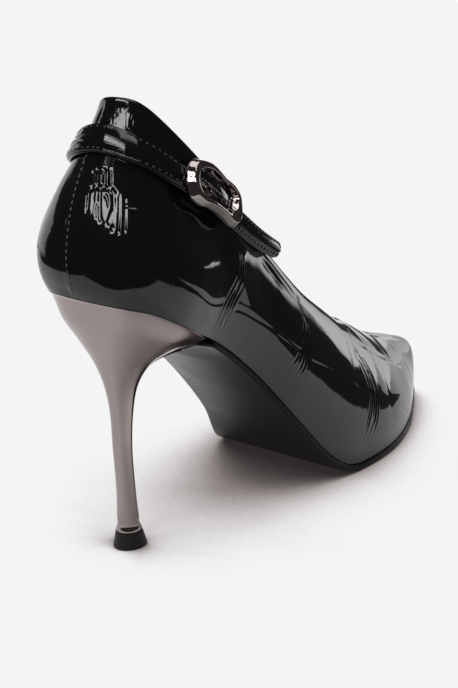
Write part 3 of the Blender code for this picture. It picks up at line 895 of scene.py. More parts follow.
def heel_rows():
    """Heel sections from the seat down: back x, back z, front x, front z, half width, share."""
    back_x = FEATHER[0][1]
    front_x = FEATHER[BREAST][1]
    seat = (back_x, BOTTOM[0][1], front_x, bottom(front_x)[0], abs(FEATHER[2][2]), 1.0)
    return [seat] + [row[1:] for row in HEEL]


def heel_section(t):
    """One ring of the heel at section number t, from the seat at 0."""
    back_x, back_z, front_x, front_z, half, share = catmull(heel_rows(), t)[0]
    depth, width = heel_outline(float(np.clip(share, 0.0, 1.0)))
    x = back_x + (front_x - back_x) * depth
    z = back_z + (front_z - back_z) * depth
    seat = float(np.clip(1.0 - t, 0.0, 1.0)) ** 2
    z = seat * (bottom(x) - CLEARANCE) + (1 - seat) * z
    pinch = 1 - ANKLE_PINCH * np.exp(-((z - ANKLE_HEIGHT) / ANKLE_SPAN) ** 2)
    middle = (back_x + front_x) / 2
    return np.column_stack([middle + (x - middle) * pinch, half * width * pinch, z])


def make_heel(plating):
    """Heel from the seat, through the neck, to the foot of the stem."""
    sections = np.concatenate([np.linspace(0.0, 4.0, 70), np.linspace(4.06, len(HEEL), 70)])
    bm = bmesh.new()
    lay_sheet(bm, wrapped(np.array([heel_section(t) for t in sections])))
    weld(bm)
    return make_piece(bm, "plated_heel", [plating], "heel", sharp=40.0)


def make_heel_tip(rubber):
    """Rubber tip under the stem, flat on the floor, with eased rims."""
    depth, width = heel_outline(0.0)
    rings = []
    for back_x, front_x, half, z in TIP:
        along = back_x + (front_x - back_x) * depth
        rings.append(np.column_stack([along, half * width, np.full(len(depth), z)]))
    bm = bmesh.new()
    lay_sheet(bm, wrapped(np.array(rings)))
    weld(bm)
    return make_piece(bm, "rubber_tip", [rubber], "heel_tip", sharp=50.0)


def sole_path():
    """Upper face of the sole from the flap's end up the breast and along to the toe.

    Rows: x, z, outer y, inner y, thickness.
    """
    rows = []
    for t in np.linspace(FLAP_SPAN, 0.55, 30):
        ring = heel_section(t)
        front = ring[:, 0] > ring[:, 0].max() - 0.05
        half = abs(ring[front, 1]).max()
        thick = FLAP_THICKNESS + FLAP_THICKENING * (1 - t / FLAP_SPAN)
        step = unit(heel_section(t - 0.05)[front].mean(axis=0) - ring[front].mean(axis=0))
        x = ring[front, 0].max() + CLEARANCE * step[2]
        z = ring[front, 2].mean() - CLEARANCE * step[0]
        rows.append((x, z, -half, half, thick))
    waist_and_tread = np.linspace(BREAST + 0.1, 9.0, 130)
    toe = STATIONS - np.linspace(1.98, 0.1, 60)
    stations = np.concatenate([[BREAST + 0.015], waist_and_tread, toe])
    for s in stations:
        outer, out_o = feather(-1, s)
        inner, out_i = feather(1, s)
        grow = SOLE_OVERHANG * min(1.0, (s - BREAST) / 1.5)
        y_o = outer[0, 1] + out_o[0, 1] * grow
        y_i = inner[0, 1] + out_i[0, 1] * grow
        x = outer[0, 0] + out_o[0, 0] * grow
        rows.append((x, bottom(outer[0, 0])[0] - CLEARANCE, y_o, y_i, np.interp(x, *np.array(SOLE).T)))
    return np.array(rows)


# Edge of the sole: share of the thickness down from its top, share of the edge's taper inwards.
SOLE_EDGE = [
    (0.0, 0.9),
    (0.06, 0.5),
    (0.16, 0.2),
    (0.3, 0.04),
    (0.42, 0.0),
    (0.6, 0.0),
    (0.74, 0.15),
    (0.88, 0.5),
    (0.97, 0.9),
    (1.0, 1.35),
]


def make_outsole(sole_face, ink):
    """Thin sole with a rounded edge, its back end turned down the heel's breast as a flap."""
    rows = sole_path()
    line = rows[:, :2]
    step = unit(np.diff(line, axis=0))
    down = np.column_stack([step[:, 1], -step[:, 0]])
    rings = []
    for i, (x, z, y_o, y_i, thick) in enumerate(rows):
        a = down[max(i - 1, 0)]
        b = down[min(i, len(down) - 1)]
        both = (a + b) / (1.0 + a @ b)
        if x > TREAD_START:
            both = np.array([0.0, -1.0])
        taper = min(SOLE_EDGE_TAPER, 0.3 * (y_i - y_o))
        edge = []
        for share, inset in SOLE_EDGE:
            ex, ez = (x, z) + both * thick * share
            edge.append((ex, inset * taper, max(ez, 0.0)))
        ring = [(ex, y_o + inset, ez) for ex, inset, ez in edge]
        past_breast = np.clip((x - FEATHER[BREAST][1]) / CROWN_RISE, 0, 1)
        before_tread = np.clip((TREAD_START - x) / CROWN_FALL, 0, 1)
        swell = SOLE_CROWN * past_breast * before_tread
        low_o = ring[-1]
        low_i = (low_o[0], y_i - edge[-1][1], low_o[2])
        for t in np.linspace(0.0, 1.0, 22)[1:-1]:
            ex, ez = (low_o[0], low_o[2]) + both * swell * (1 - (2 * t - 1) ** 2)
            ring.append((ex, low_o[1] + (low_i[1] - low_o[1]) * t, max(ez, 0.0)))
        ring += [(ex, y_i - inset, ez) for ex, inset, ez in edge[::-1]]
        rings.append(ring)
    bm = bmesh.new()
    grid = lay_sheet(bm, wrapped(np.array(rings)))
    rows_of = {vert: row for line in grid for row, vert in enumerate(line)}
    inked = len(SOLE_EDGE) - 2
    for face in bm.faces:
        place = [rows_of[vert] for vert in face.verts]
        if max(place) <= inked or min(place) >= len(grid[0]) - len(SOLE_EDGE):
            face.material_index = 1
    weld(bm)
    return make_piece(bm, "sole_with_flap", [sole_face, ink], "outsole", sharp=50.0)


# The strap and its buckle

def wall_point(station, drop):
    """Point of the upper's face a distance below the topline; above it, straight on."""
    side = -1 if station >= 0 else 1
    line = last_surface(side, [abs(station)], np.linspace(1.0, 0.0, 81))[0]
    length = lengths_along(line)
    point = np.array([np.interp(max(drop, 0.0), length, line[:, k]) for k in range(3)])
    rise = unit(line[0] - line[3])
    return point + rise * max(-drop, 0.0)


def strap_frame(station):
    """Foot point on the wall, direction along the strap, direction up across it, outward normal."""
    def middle(q):
        return wall_point(q, profile(STRAP, q)[0, 0])
    foot = middle(station)
    along = unit(middle(station + 0.03) - middle(station - 0.03))
    drop = profile(STRAP, station)[0, 0]
    rise = wall_point(station, drop - 1.5) - wall_point(station, drop + 1.5)
    out = unit(np.cross(along, rise))
    return foot, along, np.cross(out, along), out


class StrapPath:
    """Frames along the strap, read by the length from the buckle's middle."""

    def __init__(self):
        self.stations = np.linspace(STRAP[0][0], STRAP[-1][0], 241)
        frames = [strap_frame(q) for q in self.stations]
        self.foot, self.along, self.across, self.out = (np.array(c) for c in zip(*frames))
        length = lengths_along(self.foot)
        self.length = length - np.interp(BUCKLE_PLACE, self.stations, length)
        self.width = profile(STRAP, self.stations)[:, 1]
        ease = smooth((self.length - TWIST_START) / TWIST_SPAN)[:, None]
        turn = math.radians(STRAP_TWIST) * ease
        self.foot = self.foot + self.out * STRAP_LIFT * ease
        out = self.out * np.cos(turn) + self.across * np.sin(turn)
        self.across = self.across * np.cos(turn) - self.out * np.sin(turn)
        self.out = out

    def at(self, length, table):
        """A column of the path at a length."""
        return np.array([np.interp(length, self.length, table[:, k]) for k in range(table.shape[1])])

    def point(self, length, across, height):
        """Point over the strap's middle line, offset across it and off the wall."""
        foot = self.at(length, self.foot)
        return foot + self.at(length, self.across) * across + self.at(length, self.out) * height

    def half_width(self, length):
        """Half the strap's width, narrowed at the rounded end."""
        width = np.interp(length, self.length, self.width)
        table = np.array(STRAP_END)
        return width * np.interp(self.length[-1] - length, table[:, 0], table[:, 1]) / 2


def strap_crease(length, across):
    """How deep the strap is creased at a place."""
    depth = 0.0
    for middle, first, last, deep in STRAP_CREASES:
        share = (length - first) / (last - first)
        line = middle + 0.35 * math.sin(0.4 * length + middle)
        depth += deep * ends_fade(share, 0.3) * math.exp(-((across - line) / CREASE_WIDTH) ** 2)
    return depth


def make_strap(path, leather):
    """Two-layer strap round the counter with stitch channels, its free end past the buckle."""
    end = path.length[-1]
    lengths = list(np.linspace(path.length[0], end - 3.0, 170))
    lengths += list(end - np.linspace(2.6, 0.0, 16))
    rings = []
    for length in lengths:
        half = path.half_width(length)
        ease = min(1.0, half / 2.6)
        lower = [(-half + inset * ease, height) for inset, height in STRAP_SECTION]
        face = half - STRAP_SECTION[-1][0] * ease
        crown = []
        for t in np.linspace(-1, 1, 31)[1:-1]:
            swell = STRAP_CROWN * (1 - t * t) - strap_crease(length, face * t)
            crown.append((face * t, STRAP_SECTION[-1][1] + swell))
        upper = [(-across, height) for across, height in lower[::-1]]
        rings.append([path.point(length, a, STRAP_STAND_OFF + h) for a, h in lower + crown + upper])
    bm = bmesh.new()
    grid = lay_sheet(bm, wrapped(np.array(rings)))
    places = {}
    for length, line in zip(lengths, grid):
        for row, vert in enumerate(line):
            places[vert] = (length / CHART_UNIT, STRAP_CHART_STEP * row)
    lay_chart(bm, places)
    weld(bm)
    return make_piece(bm, "counter_strap", [leather], "strap", sharp=60.0)


def add_stitch(bm, middle, along, out, length, radius):
    """One thread bead lying on a surface."""
    across = np.cross(out, along)
    turn = np.column_stack([along * length / 2, across * radius, out * radius * 0.8]) * MM
    matrix = Matrix.Identity(4)
    for row in range(3):
        matrix[row][:3] = turn[row]
        matrix[row][3] = (middle[row] + SHIFT[row]) * MM
    bmesh.ops.create_uvsphere(bm, u_segments=8, v_segments=6, radius=1.0, matrix=matrix)


def make_strap_stitches(path, thread):
    """Two rows of stitches along the strap, joined round its free end."""
    bm = bmesh.new()
    channel = STRAP_STAND_OFF + STRAP_THICKNESS - STITCH_SINK
    first = path.length[0] + STITCH_START
    last = path.length[-1] - STITCH_STOP
    for length in np.arange(first, last, STRAP_PITCH):
        for sign in (-1, 1):
            across = sign * (path.half_width(length) - STITCH_INSET)
            add_stitch(bm, path.point(length, across, channel), path.at(length, path.along),
                       path.at(length, path.out), *STRAP_STITCH)
    half = path.half_width(last) - STITCH_INSET
    for across in np.linspace(-half, half, 3):
        length = last + 0.5
        add_stitch(bm, path.point(length, across, channel + 0.04), path.at(length, path.across),
                   path.at(length, path.out), *END_STITCH)
    return make_piece(bm, "strap_stitches", [thread])


def make_seam_stitches(thread):
    """Row of stitches down the lapped back seam."""
    s, v = fine_line(SEAM, 120).T
    points = np.array([last_surface(1 if a < 0 else -1, [abs(a)], [b])[0, 0] for a, b in zip(s, v)])
    length = lengths_along(points)
    steps = np.array([-0.5, 0.0, 0.5])
    bm = bmesh.new()
    for place in np.arange(2.0, length[-1] - 2.0, SEAM_PITCH):
        behind, middle, ahead = np.column_stack([np.interp(place + steps, length, c) for c in points.T])
        along = unit(ahead - behind)
        station = abs(np.interp(place, length, s))
        share = np.interp(place, length, v)
        near = last_surface(1, [0.999 * station, 1.001 * station + 1e-4], [share - 0.002, share + 0.002])
        out = unit(np.cross(near[0, 1] - near[0, 0], near[1, 0] - near[0, 0]))
        out = out if out[0] < 0 else -out
        add_stitch(bm, middle + out * 0.12, along, out, *SEAM_STITCH)
    return make_piece(bm, "back_seam_stitches", [thread])


def tube(bm, middles, sides, outs, radii, turns, closed, section=None):
    """Tube along middles, round or of a given section; a tube that isn't closed ends in points."""
    a = np.linspace(0.0, 2 * math.pi, turns + 1)
    across, out = np.cos(a), np.sin(a)
    if section:
        across, out = catmull(section, a / (2 * math.pi) * len(section), True).T
    ring = across[None, :, None] * sides[:, None] + out[None, :, None] * outs[:, None]
    places = middles[:, None] + radii[:, None, None] * ring
    if closed:
        places = np.concatenate([places, places[:1]], axis=0)
    lay_sheet(bm, places)


def make_buckle(path, plating):
    """Polished ring lying on the strap, its band running between two outlines."""
    table = catmull(BUCKLE, np.linspace(0, len(BUCKLE), 181)[:-1], True)
    lift = STRAP_STAND_OFF + STRAP_THICKNESS + CLEARANCE + BUCKLE_HEIGHT / 2
    outer = np.array([path.point(along, across, lift) for along, across in table[:, :2]])
    inner = np.array([path.point(along, across, lift) for along, across in table[:, 2:]])
    outs = np.array([path.at(along, path.out) for along in table[:, ::2].mean(axis=1)])
    middles = (outer + inner) / 2
    sides = (inner - outer) / 2
    bm = bmesh.new()
    tube(bm, middles, sides, outs * BUCKLE_HEIGHT / 2, np.ones(len(table)), 56, True, BUCKLE_SECTION)
    weld(bm)
    return make_piece(bm, "buckle_ring", [plating], "buckle", sharp=80.0)


def make_prong(path, plating):
    """Tapered pin from the ring to the eyelet, rounded at its tip."""
    lift = STRAP_STAND_OFF + STRAP_THICKNESS + CLEARANCE + PRONG_RADIUS
    share = np.linspace(0.0, 1.0, 22)
    lengths = PRONG_ROOT + (PRONG_TIP - PRONG_ROOT) * share
    middles = np.array([path.point(length, PRONG_ACROSS, lift) for length in lengths])
    forward = unit(np.gradient(middles, axis=0))
    outs = np.array([path.at(length, path.out) for length in lengths])
    sides = unit(np.cross(forward, outs))
    outs = np.cross(sides, forward)
    tip = np.sqrt(np.clip((1 - share) / PRONG_TIP_ROUND, 0.0, 1.0))
    root = np.sqrt(np.clip(share / PRONG_ROOT_ROUND, 0.0, 1.0))
    radii = PRONG_RADIUS * (1 - PRONG_TAPER * share) * tip * root
    bm = bmesh.new()
    tube(bm, middles, sides, outs, radii, 16, False)
    weld(bm)
    return make_piece(bm, "prong_pin", [plating], "buckle_prong", sharp=80.0)


def make_eyelet(path, plating):
    """Rolled wire ring round the hole that the prong enters."""
    lift = STRAP_STAND_OFF + STRAP_THICKNESS + EYELET_WIRE
    angles = np.linspace(0.0, 2 * math.pi, 41)[:-1]
    flat = np.column_stack([EYELET_RADIUS * np.cos(angles), PRONG_ACROSS + EYELET_RADIUS * np.sin(angles)])
    middles = np.array([path.point(a, b, lift) for a, b in flat])
    forward = unit(np.roll(middles, -1, axis=0) - np.roll(middles, 1, axis=0))
    outs = np.array([path.at(a, path.out) for a, _ in flat])
    sides = unit(np.cross(forward, outs))
    bm = bmesh.new()
    tube(bm, middles, sides, outs, np.full(len(middles), EYELET_WIRE), 12, True)
    weld(bm)
    return make_piece(bm, "eyelet_ring", [plating], "strap_eyelet", sharp=80.0)


# Materials

CALM_FROM = (0.55, 0.85)    # along the chart, the ripples and scale edges calm down here
CALM_SHARE = 0.1           # and keep this share of their height towards the toe


def add_node(tree, kind, inputs=None, **settings):
    """Node with its settings, its inputs set or linked."""
    made = tree.nodes.new(kind)
    for key, value in settings.items():
        setattr(made, key, value)
    for key, value in (inputs or {}).items():
        if isinstance(value, bpy.types.NodeSocket):
            tree.links.new(value, made.inputs[key])
        else:
            made.inputs[key].default_value = value
    return made


def new_material(name, colour, roughness, metallic=0.0, ior=1.5):
    """Principled material; gives it, its tree and its shader."""
    material = bpy.data.materials.new(name)
    material.use_nodes = True
    tree = material.node_tree
    shader = tree.nodes["Principled BSDF"]
    shader.inputs["Base Color"].default_value = (*colour, 1.0)
    shader.inputs["Roughness"].default_value = roughness
    shader.inputs["Metallic"].default_value = metallic
    shader.inputs["IOR"].default_value = ior
    return material, tree, shader


def grain_group():
    """Group: fine uneven height and a soft patch mask from a position."""
    group = bpy.data.node_groups.new("fine_grain", "ShaderNodeTree")
    face = group.interface
    face.new_socket("Place", in_out="INPUT", socket_type="NodeSocketVector")
    face.new_socket("Grain Scale", in_out="INPUT", socket_type="NodeSocketFloat")
    face.new_socket("Patch Scale", in_out="INPUT", socket_type="NodeSocketFloat")
    face.new_socket("Grain", in_out="OUTPUT", socket_type="NodeSocketFloat")
    face.new_socket("Patch", in_out="OUTPUT", socket_type="NodeSocketFloat")
    start = group.nodes.new("NodeGroupInput")
    end = group.nodes.new("NodeGroupOutput")
    grain = add_node(group, "ShaderNodeTexNoise", {
        "Vector": start.outputs["Place"], "Scale": start.outputs["Grain Scale"], "Detail": 3.0})
    patch = add_node(group, "ShaderNodeTexNoise", {
        "Vector": start.outputs["Place"], "Scale": start.outputs["Patch Scale"], "Detail": 2.0})
    group.links.new(grain.outputs["Fac"], end.inputs["Grain"])
    group.links.new(patch.outputs["Fac"], end.inputs["Patch"])
    return group


def place_group(tree, group, values):
    """The group in a material, with its inputs set or linked."""
    return add_node(tree, "ShaderNodeGroup", values, node_tree=group)


def grain_on_piece(tree, grain, grain_scale, patch_scale):
    """The grain and the patches at places on the piece."""
    place = add_node(tree, "ShaderNodeTexCoord").outputs["Object"]
    made = place_group(tree, grain, {
        "Place": place, "Grain Scale": grain_scale, "Patch Scale": patch_scale})
    return made.outputs["Grain"], made.outputs["Patch"]


def scaled(tree, value, factor):
    """A value times a number."""
    return add_node(tree, "ShaderNodeMath", {0: value, 1: factor}, operation="MULTIPLY").outputs[0]


def summed(tree, first, second):
    """The sum of two values."""
    return add_node(tree, "ShaderNodeMath", {0: first, 1: second}, operation="ADD").outputs[0]


def ranged(tree, value, low, high, to_low, to_high):
    """A value brought from one range to another."""
    made = add_node(tree, "ShaderNodeMapRange", {
        "Value": value, "From Min": low, "From Max": high, "To Min": to_low, "To Max": to_high})
    return made.outputs["Result"]


def mixed(tree, share, first, second):
    """A colour between two others, by a share."""
    made = add_node(tree, "ShaderNodeMix", {"Factor": share, 6: (*first, 1.0), 7: (*second, 1.0)},
                    data_type="RGBA")
    return made.outputs[2]


def stretched(tree, place, across, up):
    """Places of the chart, scaled across and up."""
    made = add_node(tree, "ShaderNodeMapping", {"Vector": place, "Scale": (across, up, 1.0)})
    return made.outputs["Vector"]


def raise_bump(tree, shader, height_mm):
    """Bump of a height given in millimetres."""
    bump = add_node(tree, "ShaderNodeBump", {"Strength": 1.0, "Distance": MM, "Height": height_mm})
    tree.links.new(bump.outputs["Normal"], shader.inputs["Normal"])


def patent_leather(grain, name, ripple, crackle, stretch):
    """Black patent leather: fine upright ripples and hairline scale edges under a clear gloss."""
    material, tree, shader = new_material(name, (0.0035, 0.0033, 0.0035), 0.06, ior=1.46)
    chart = add_node(tree, "ShaderNodeUVMap", uv_map="chart").outputs["UV"]
    ripples = add_node(tree, "ShaderNodeTexNoise", {
        "Vector": stretched(tree, chart, *stretch), "Scale": 1.0, "Detail": 2.0, "Roughness": 0.55})
    tall = stretched(tree, chart, 26.0, 9.0)
    bent = add_node(tree, "ShaderNodeTexNoise", {"Vector": tall, "Scale": 0.6, "Detail": 1.0})
    shove = add_node(tree, "ShaderNodeVectorMath", {
        0: bent.outputs["Color"], 1: (0.9, 0.9, 0.0)}, operation="MULTIPLY")
    moved = add_node(tree, "ShaderNodeVectorMath", {0: tall, 1: shove.outputs["Vector"]}, operation="ADD")
    cells = add_node(tree, "ShaderNodeTexVoronoi", {"Vector": moved.outputs["Vector"], "Scale": 1.0},
                     feature="DISTANCE_TO_EDGE", voronoi_dimensions="2D")
    edges = ranged(tree, cells.outputs["Distance"], 0.0, 0.09, -crackle, 0.0)
    skin = place_group(tree, grain, {"Place": chart, "Grain Scale": 160.0, "Patch Scale": 12.0})
    reach = add_node(tree, "ShaderNodeSeparateXYZ", {"Vector": chart}).outputs["X"]
    calm = ranged(tree, reach, *CALM_FROM, 1.0, CALM_SHARE)
    height = summed(tree, scaled(tree, ripples.outputs["Fac"], ripple), edges)
    height = summed(tree, scaled(tree, height, calm), scaled(tree, skin.outputs["Grain"], 0.0025))
    raise_bump(tree, shader, height)
    gloss = ranged(tree, skin.outputs["Patch"], 0.3, 0.7, 0.045, 0.085)
    tree.links.new(gloss, shader.inputs["Roughness"])
    return material


def uneven_finish(grain, name, colour, roughness, gloss, scales, tooth, patches=(0.3, 0.7), **shine):
    """Finish with a fine tooth in millimetres, its gloss uneven in soft patches.

    gloss is the lowest and the highest roughness. scales are those of the tooth and of the patches.
    """
    material, tree, shader = new_material(name, colour, roughness, **shine)
    fine, patch = grain_on_piece(tree, grain, *scales)
    tree.links.new(ranged(tree, patch, *patches, *gloss), shader.inputs["Roughness"])
    if tooth:
        raise_bump(tree, shader, scaled(tree, fine, tooth))
    return material


def gunmetal(grain, name, colour, low, high):
    """Polished dark plating with faint smudges."""
    scales = (900.0, 60.0)
    return uneven_finish(grain, name, colour, low, (low, high), scales, 0.0008, (0.35, 0.7), metallic=1.0)


def sole_leather(grain):
    """Black sole: matte face with a fine tooth, a little polished in patches."""
    black = (0.005, 0.0048, 0.0048)
    return uneven_finish(grain, "sole_black", black, 0.3, (0.24, 0.34), (1400.0, 45.0), 0.012, ior=1.32)


def edge_ink(grain):
    """Black ink on the sole's edge, without a tooth."""
    black = (0.002, 0.002, 0.002)
    return uneven_finish(grain, "edge_ink", black, 0.4, (0.3, 0.46), (1800.0, 150.0), 0.0, ior=1.2)


def tip_rubber(grain):
    """Black rubber with a fine moulded grain."""
    black = (0.004, 0.004, 0.004)
    return uneven_finish(grain, "tip_rubber", black, 0.4, (0.38, 0.5), (2200.0, 120.0), 0.012, ior=1.38)


def lining_leather(grain):
    """Dark lining leather with a soft grain and uneven tone."""
    material, tree, shader = new_material("lining_leather", (0.03, 0.027, 0.026), 0.55)
    fine, patch = grain_on_piece(tree, grain, 700.0, 40.0)
    tone = mixed(tree, patch, (0.024, 0.022, 0.021), (0.042, 0.038, 0.036))
    tree.links.new(tone, shader.inputs["Base Color"])
    raise_bump(tree, shader, scaled(tree, fine, 0.05))
    return material


def thread_with_painted_sheen(grain):
    """Black waxed thread, its base colour lifted to dark grey as a painted sheen; its twist as a fine bump.
    """
    # dark grey base colour: painted sheen standing in for the black thread's highlights
    material, tree, shader = new_material("thread_with_painted_sheen", (0.07, 0.068, 0.068), 0.3)
    twist, _ = grain_on_piece(tree, grain, 3000.0, 300.0)
    raise_bump(tree, shader, scaled(tree, twist, 0.02))
    return material


# Stage, light and camera

CAMERA_AZIMUTH = math.radians(35.6)     # the camera looks this way, from +X towards +Y
CAMERA_ELEVATION = math.radians(19.7)
CAMERA_ROLL = math.radians(0.45)
CAMERA_DISTANCE = 774.0
CAMERA_AIM = np.array([61.3, 0.0, 60.7])
FLOOR_AIM = CAMERA_AIM * [1, 1, 0]
FOCAL_PIXELS = 2021.0
PHOTO_HEIGHT = 688.0
SENSOR = 36.0

PALE = 0.906               # linear value of the pale floor and the ground behind it
SHADE_REACH = 90.0         # what stands higher than this throws no shade on the floor
# Painted floor shade: share of the sky that is open there, share of the full brightness.
SHADE = [
    (0.2, 0.03),
    (0.36, 0.1),
    (0.44, 0.19),
    (0.52, 0.31),
    (0.6, 0.46),
    (0.65, 0.6),
    (0.69, 0.76),
    (0.72, 0.88),
    (0.76, 0.97),
    (0.81, 1.0),
]
SHADE_WARMTH = (0.0, 0.16, 0.18)   # share of red, green and blue that full shade loses besides
SHADE_SAMPLES = 16
FLOOR_REACH = 6000.0
AMBIENT = 0.3              # even light on the shoe
DIM = 0.06                 # dark room that gloss sees
WHITE = (1.0, 1.0, 1.0)
AMBIENT_TINT = (1.0, 0.9, 0.88)
SUN = 2.76                 # irradiance of the soft light from above
SUN_TINT = (0.959, 0.993, 1.0)
SUN_SPREAD = 40.0
SUN_FROM = (-175.0, 83.0)

# Bright cards that only gloss sees: azimuth, elevation and distance from the aim, width, height, strength.
CARDS = {
    "window_back": (177.5, 38.2, 1013.0, 700.0, 165.0, 10.0),
    "window_top": (60.0, 78.0, 1100.0, 800.0, 600.0, 2.0),
    "window_front": (-140.0, 69.0, 1000.0, 560.0, 470.0, 3.2),
}
# Walls behind the shoe that gloss sees: first and last azimuth, lower edge, height of full brightness,
# upper edge, brightness at the first and the last azimuth.
WALLS = {
    "side_wall": (-14.5, 1.0, -54.0, -33.0, 230.0, 3.2, 1.75),
    "toe_wall": (1.0, 10.0, -85.0, -55.0, 230.0, 1.75, 0.95),
    "far_wall": (10.0, 30.0, -25.0, 15.0, 260.0, 1.6, 1.6),
    "back_wall": (34.0, 108.0, -160.0, -60.0, 260.0, 1.25, 1.25),
}
WALL_AWAY = 900.0
WALL_COLUMNS = 25
# Low card ahead of the toe that only the quarter mirrors: y, upper edge and brightness at both ends.
LOW_CARD = [
    (-156.0, 49.0, 4.4),
    (-70.0, 58.0, 2.0),
]
LOW_CARD_AHEAD = 300.0
LOW_CARD_FADE = (40.0, 49.0)
# Board of floor paper that only gloss sees: towards the camera from the aim, left edge, right edge.
BOARD = [
    (190.0, -260.0, 205.0),
    (0.0, -300.0, 190.0),
    (-50.0, -300.0, 182.0),
    (-95.0, -300.0, 152.0),
    (-135.0, -320.0, 129.0),
    (-190.0, -340.0, 230.0),
    (-330.0, -400.0, 340.0),
]
# Painted shade, a dimmer oval of the board by the heel that the heel mirrors: its middle towards the camera
# and to the right of the aim, its reach both ways, the share of the brightness at its middle.
BOARD_OVAL = (50.0, -3.0, 135.0, 72.0, 0.48)
BOARD_LIFT = 0.05


def stage_sheet(name, places, material):
    """Stage sheet of places[column, row], in millimetres."""
    bm = bmesh.new()
    lay_sheet(bm, np.asarray(places, float))
    mesh = bpy.data.meshes.new(name)
    bm.to_mesh(mesh)
    bm.free()
    mesh.materials.append(material)
    sheet = bpy.data.objects.new(name, mesh)
    bpy.context.scene.collection.objects.link(sheet)
    return sheet


def seen_by(thing, camera=False, diffuse=False, glossy=False, shadow=False):
    """Which rays meet a stage object."""
    thing.visible_camera = camera
    thing.visible_diffuse = diffuse
    thing.visible_glossy = glossy
    thing.visible_transmission = False
    thing.visible_shadow = shadow


def white_emission(name):
    """Plain white emission; gives the material, its tree and its emission."""
    material = bpy.data.materials.new(name)
    material.use_nodes = True
    tree = material.node_tree
    tree.nodes.clear()
    light = add_node(tree, "ShaderNodeEmission", {"Color": (*WHITE, 1.0), "Strength": 1.0})
    end = add_node(tree, "ShaderNodeOutputMaterial")
    tree.links.new(light.outputs["Emission"], end.inputs["Surface"])
    return material, tree, light


def even_glow(name, strength):
    """White glow of one brightness."""
    material, _, light = white_emission(name)
    light.inputs["Strength"].default_value = strength
    return material


def swept_glow(name, fade, ends, brightness):
    """White glow that rises from nothing between two heights and changes from one end in y to the other."""
    material, tree, light = white_emission(name)
    object_place = add_node(tree, "ShaderNodeTexCoord").outputs["Object"]
    place = add_node(tree, "ShaderNodeSeparateXYZ", {"Vector": object_place})
    rise = ranged(tree, place.outputs["Z"], fade[0] * MM, fade[1] * MM, 0.0, 1.0)
    across = ranged(tree, place.outputs["Y"], ends[0] * MM, ends[1] * MM, *brightness)
    tree.links.new(scaled(tree, rise, across), light.inputs["Strength"])
    return material


def floor_paper(name, oval=None):
    """Evenly glowing pale paper with a painted soft warm shade close to what stands on it.

    With an oval, given by its middle, its reach both ways and its share, the paper is dimmer there as a
    painted shade.
    """
    material, tree, light = white_emission(name)
    reach = SHADE_REACH * MM
    # painted shade: the glow darkens and warms where the sky is closed in
    near = add_node(tree, "ShaderNodeAmbientOcclusion", {"Distance": reach}, samples=SHADE_SAMPLES)
    shade = add_node(tree, "ShaderNodeValToRGB", {"Fac": near.outputs["AO"]})
    stops = shade.color_ramp.elements
    for number, (openness, share) in enumerate(SHADE):
        stop = stops[0] if number == 0 else stops.new(openness)
        stop.position = openness
        warm = [PALE * share * (1 - loss * (1 - share)) for loss in SHADE_WARMTH]
        stop.color = (*warm, 1.0)
    stops.remove(stops[len(stops) - 1])
    tree.links.new(shade.outputs["Color"], light.inputs["Color"])
    # painted shade: the oval dims the glow towards its middle
    if oval:
        middle, reach_ahead, reach_across, share = oval
        place = add_node(tree, "ShaderNodeTexCoord").outputs["Object"]
        turned = add_node(tree, "ShaderNodeMapping", {
            "Vector": place, "Location": [c * MM for c in middle], "Rotation": (0.0, 0.0, CAMERA_AZIMUTH),
            "Scale": (reach_ahead * MM, reach_across * MM, 1.0)}, vector_type="TEXTURE")
        away = add_node(tree, "ShaderNodeVectorMath", {0: turned.outputs["Vector"]}, operation="LENGTH")
        tree.links.new(ranged(tree, away.outputs["Value"], 0.0, 1.0, share, 1.0), light.inputs["Strength"])
    return material


def towards(azimuth, elevation):
    """Direction at an azimuth from +X towards +Y and an elevation, in degrees."""
    a = math.radians(azimuth)
    e = math.radians(elevation)
    return np.array([math.cos(a) * math.cos(e), math.sin(a) * math.cos(e), math.sin(e)])


def make_floor():
    """Pale floor, and the board that gloss sees in its place."""
    ends = (-FLOOR_REACH, FLOOR_REACH)
    floor = stage_sheet("floor", [[(x, y, 0.0) for y in ends] for x in ends], floor_paper("floor_paper"))
    seen_by(floor, camera=True, diffuse=True, shadow=True)
    ahead = towards(math.degrees(CAMERA_AZIMUTH), 0.0)
    right = np.array([ahead[1], -ahead[0], 0.0])
    foot = FLOOR_AIM + UP * BOARD_LIFT
    places = [[foot - ahead * row[0] + right * row[edge] for row in BOARD] for edge in (1, 2)]
    oval_near, oval_right, *oval_rest = BOARD_OVAL
    oval_middle = foot + SHIFT - ahead * oval_near + right * oval_right
    board_paper = floor_paper("board_paper", (oval_middle, *oval_rest))
    seen_by(stage_sheet("floor_board", places, board_paper), glossy=True)


def make_walls():
    """Walls and low card that gloss sees."""
    for name, (first, last, low, full, high, *brightness) in WALLS.items():
        turns = np.linspace(first, last, WALL_COLUMNS)
        feet = [FLOOR_AIM + towards(turn, 0.0) * WALL_AWAY for turn in turns]
        places = [[foot + UP * z for z in (low, full, high)] for foot in feet]
        ends = [(feet[k] + SHIFT)[1] for k in (0, -1)]
        light = swept_glow(name, (low, full), ends, brightness)
        seen_by(stage_sheet(name, places, light), glossy=True)
    places = [[(LOW_CARD_AHEAD, y, z) for z in (LOW_CARD_FADE[0], high)] for y, high, _ in LOW_CARD]
    ends = [y + SHIFT[1] for y, _, _ in LOW_CARD]
    light = swept_glow("low_card", LOW_CARD_FADE, ends, [brightness for _, _, brightness in LOW_CARD])
    seen_by(stage_sheet("low_card", places, light), glossy=True)


def make_cards():
    """Bright cards that gloss sees, each facing the shoe."""
    for name, (azimuth, elevation, distance, width, height, strength) in CARDS.items():
        way = towards(azimuth, elevation)
        middle = CAMERA_AIM + way * distance
        side = unit(np.cross(way, UP))
        rise = np.cross(side, way)
        places = [[middle + side * a * width / 2 + rise * b * height / 2 for b in (-1, 1)] for a in (-1, 1)]
        seen_by(stage_sheet(name, places, even_glow(name, strength)), glossy=True)


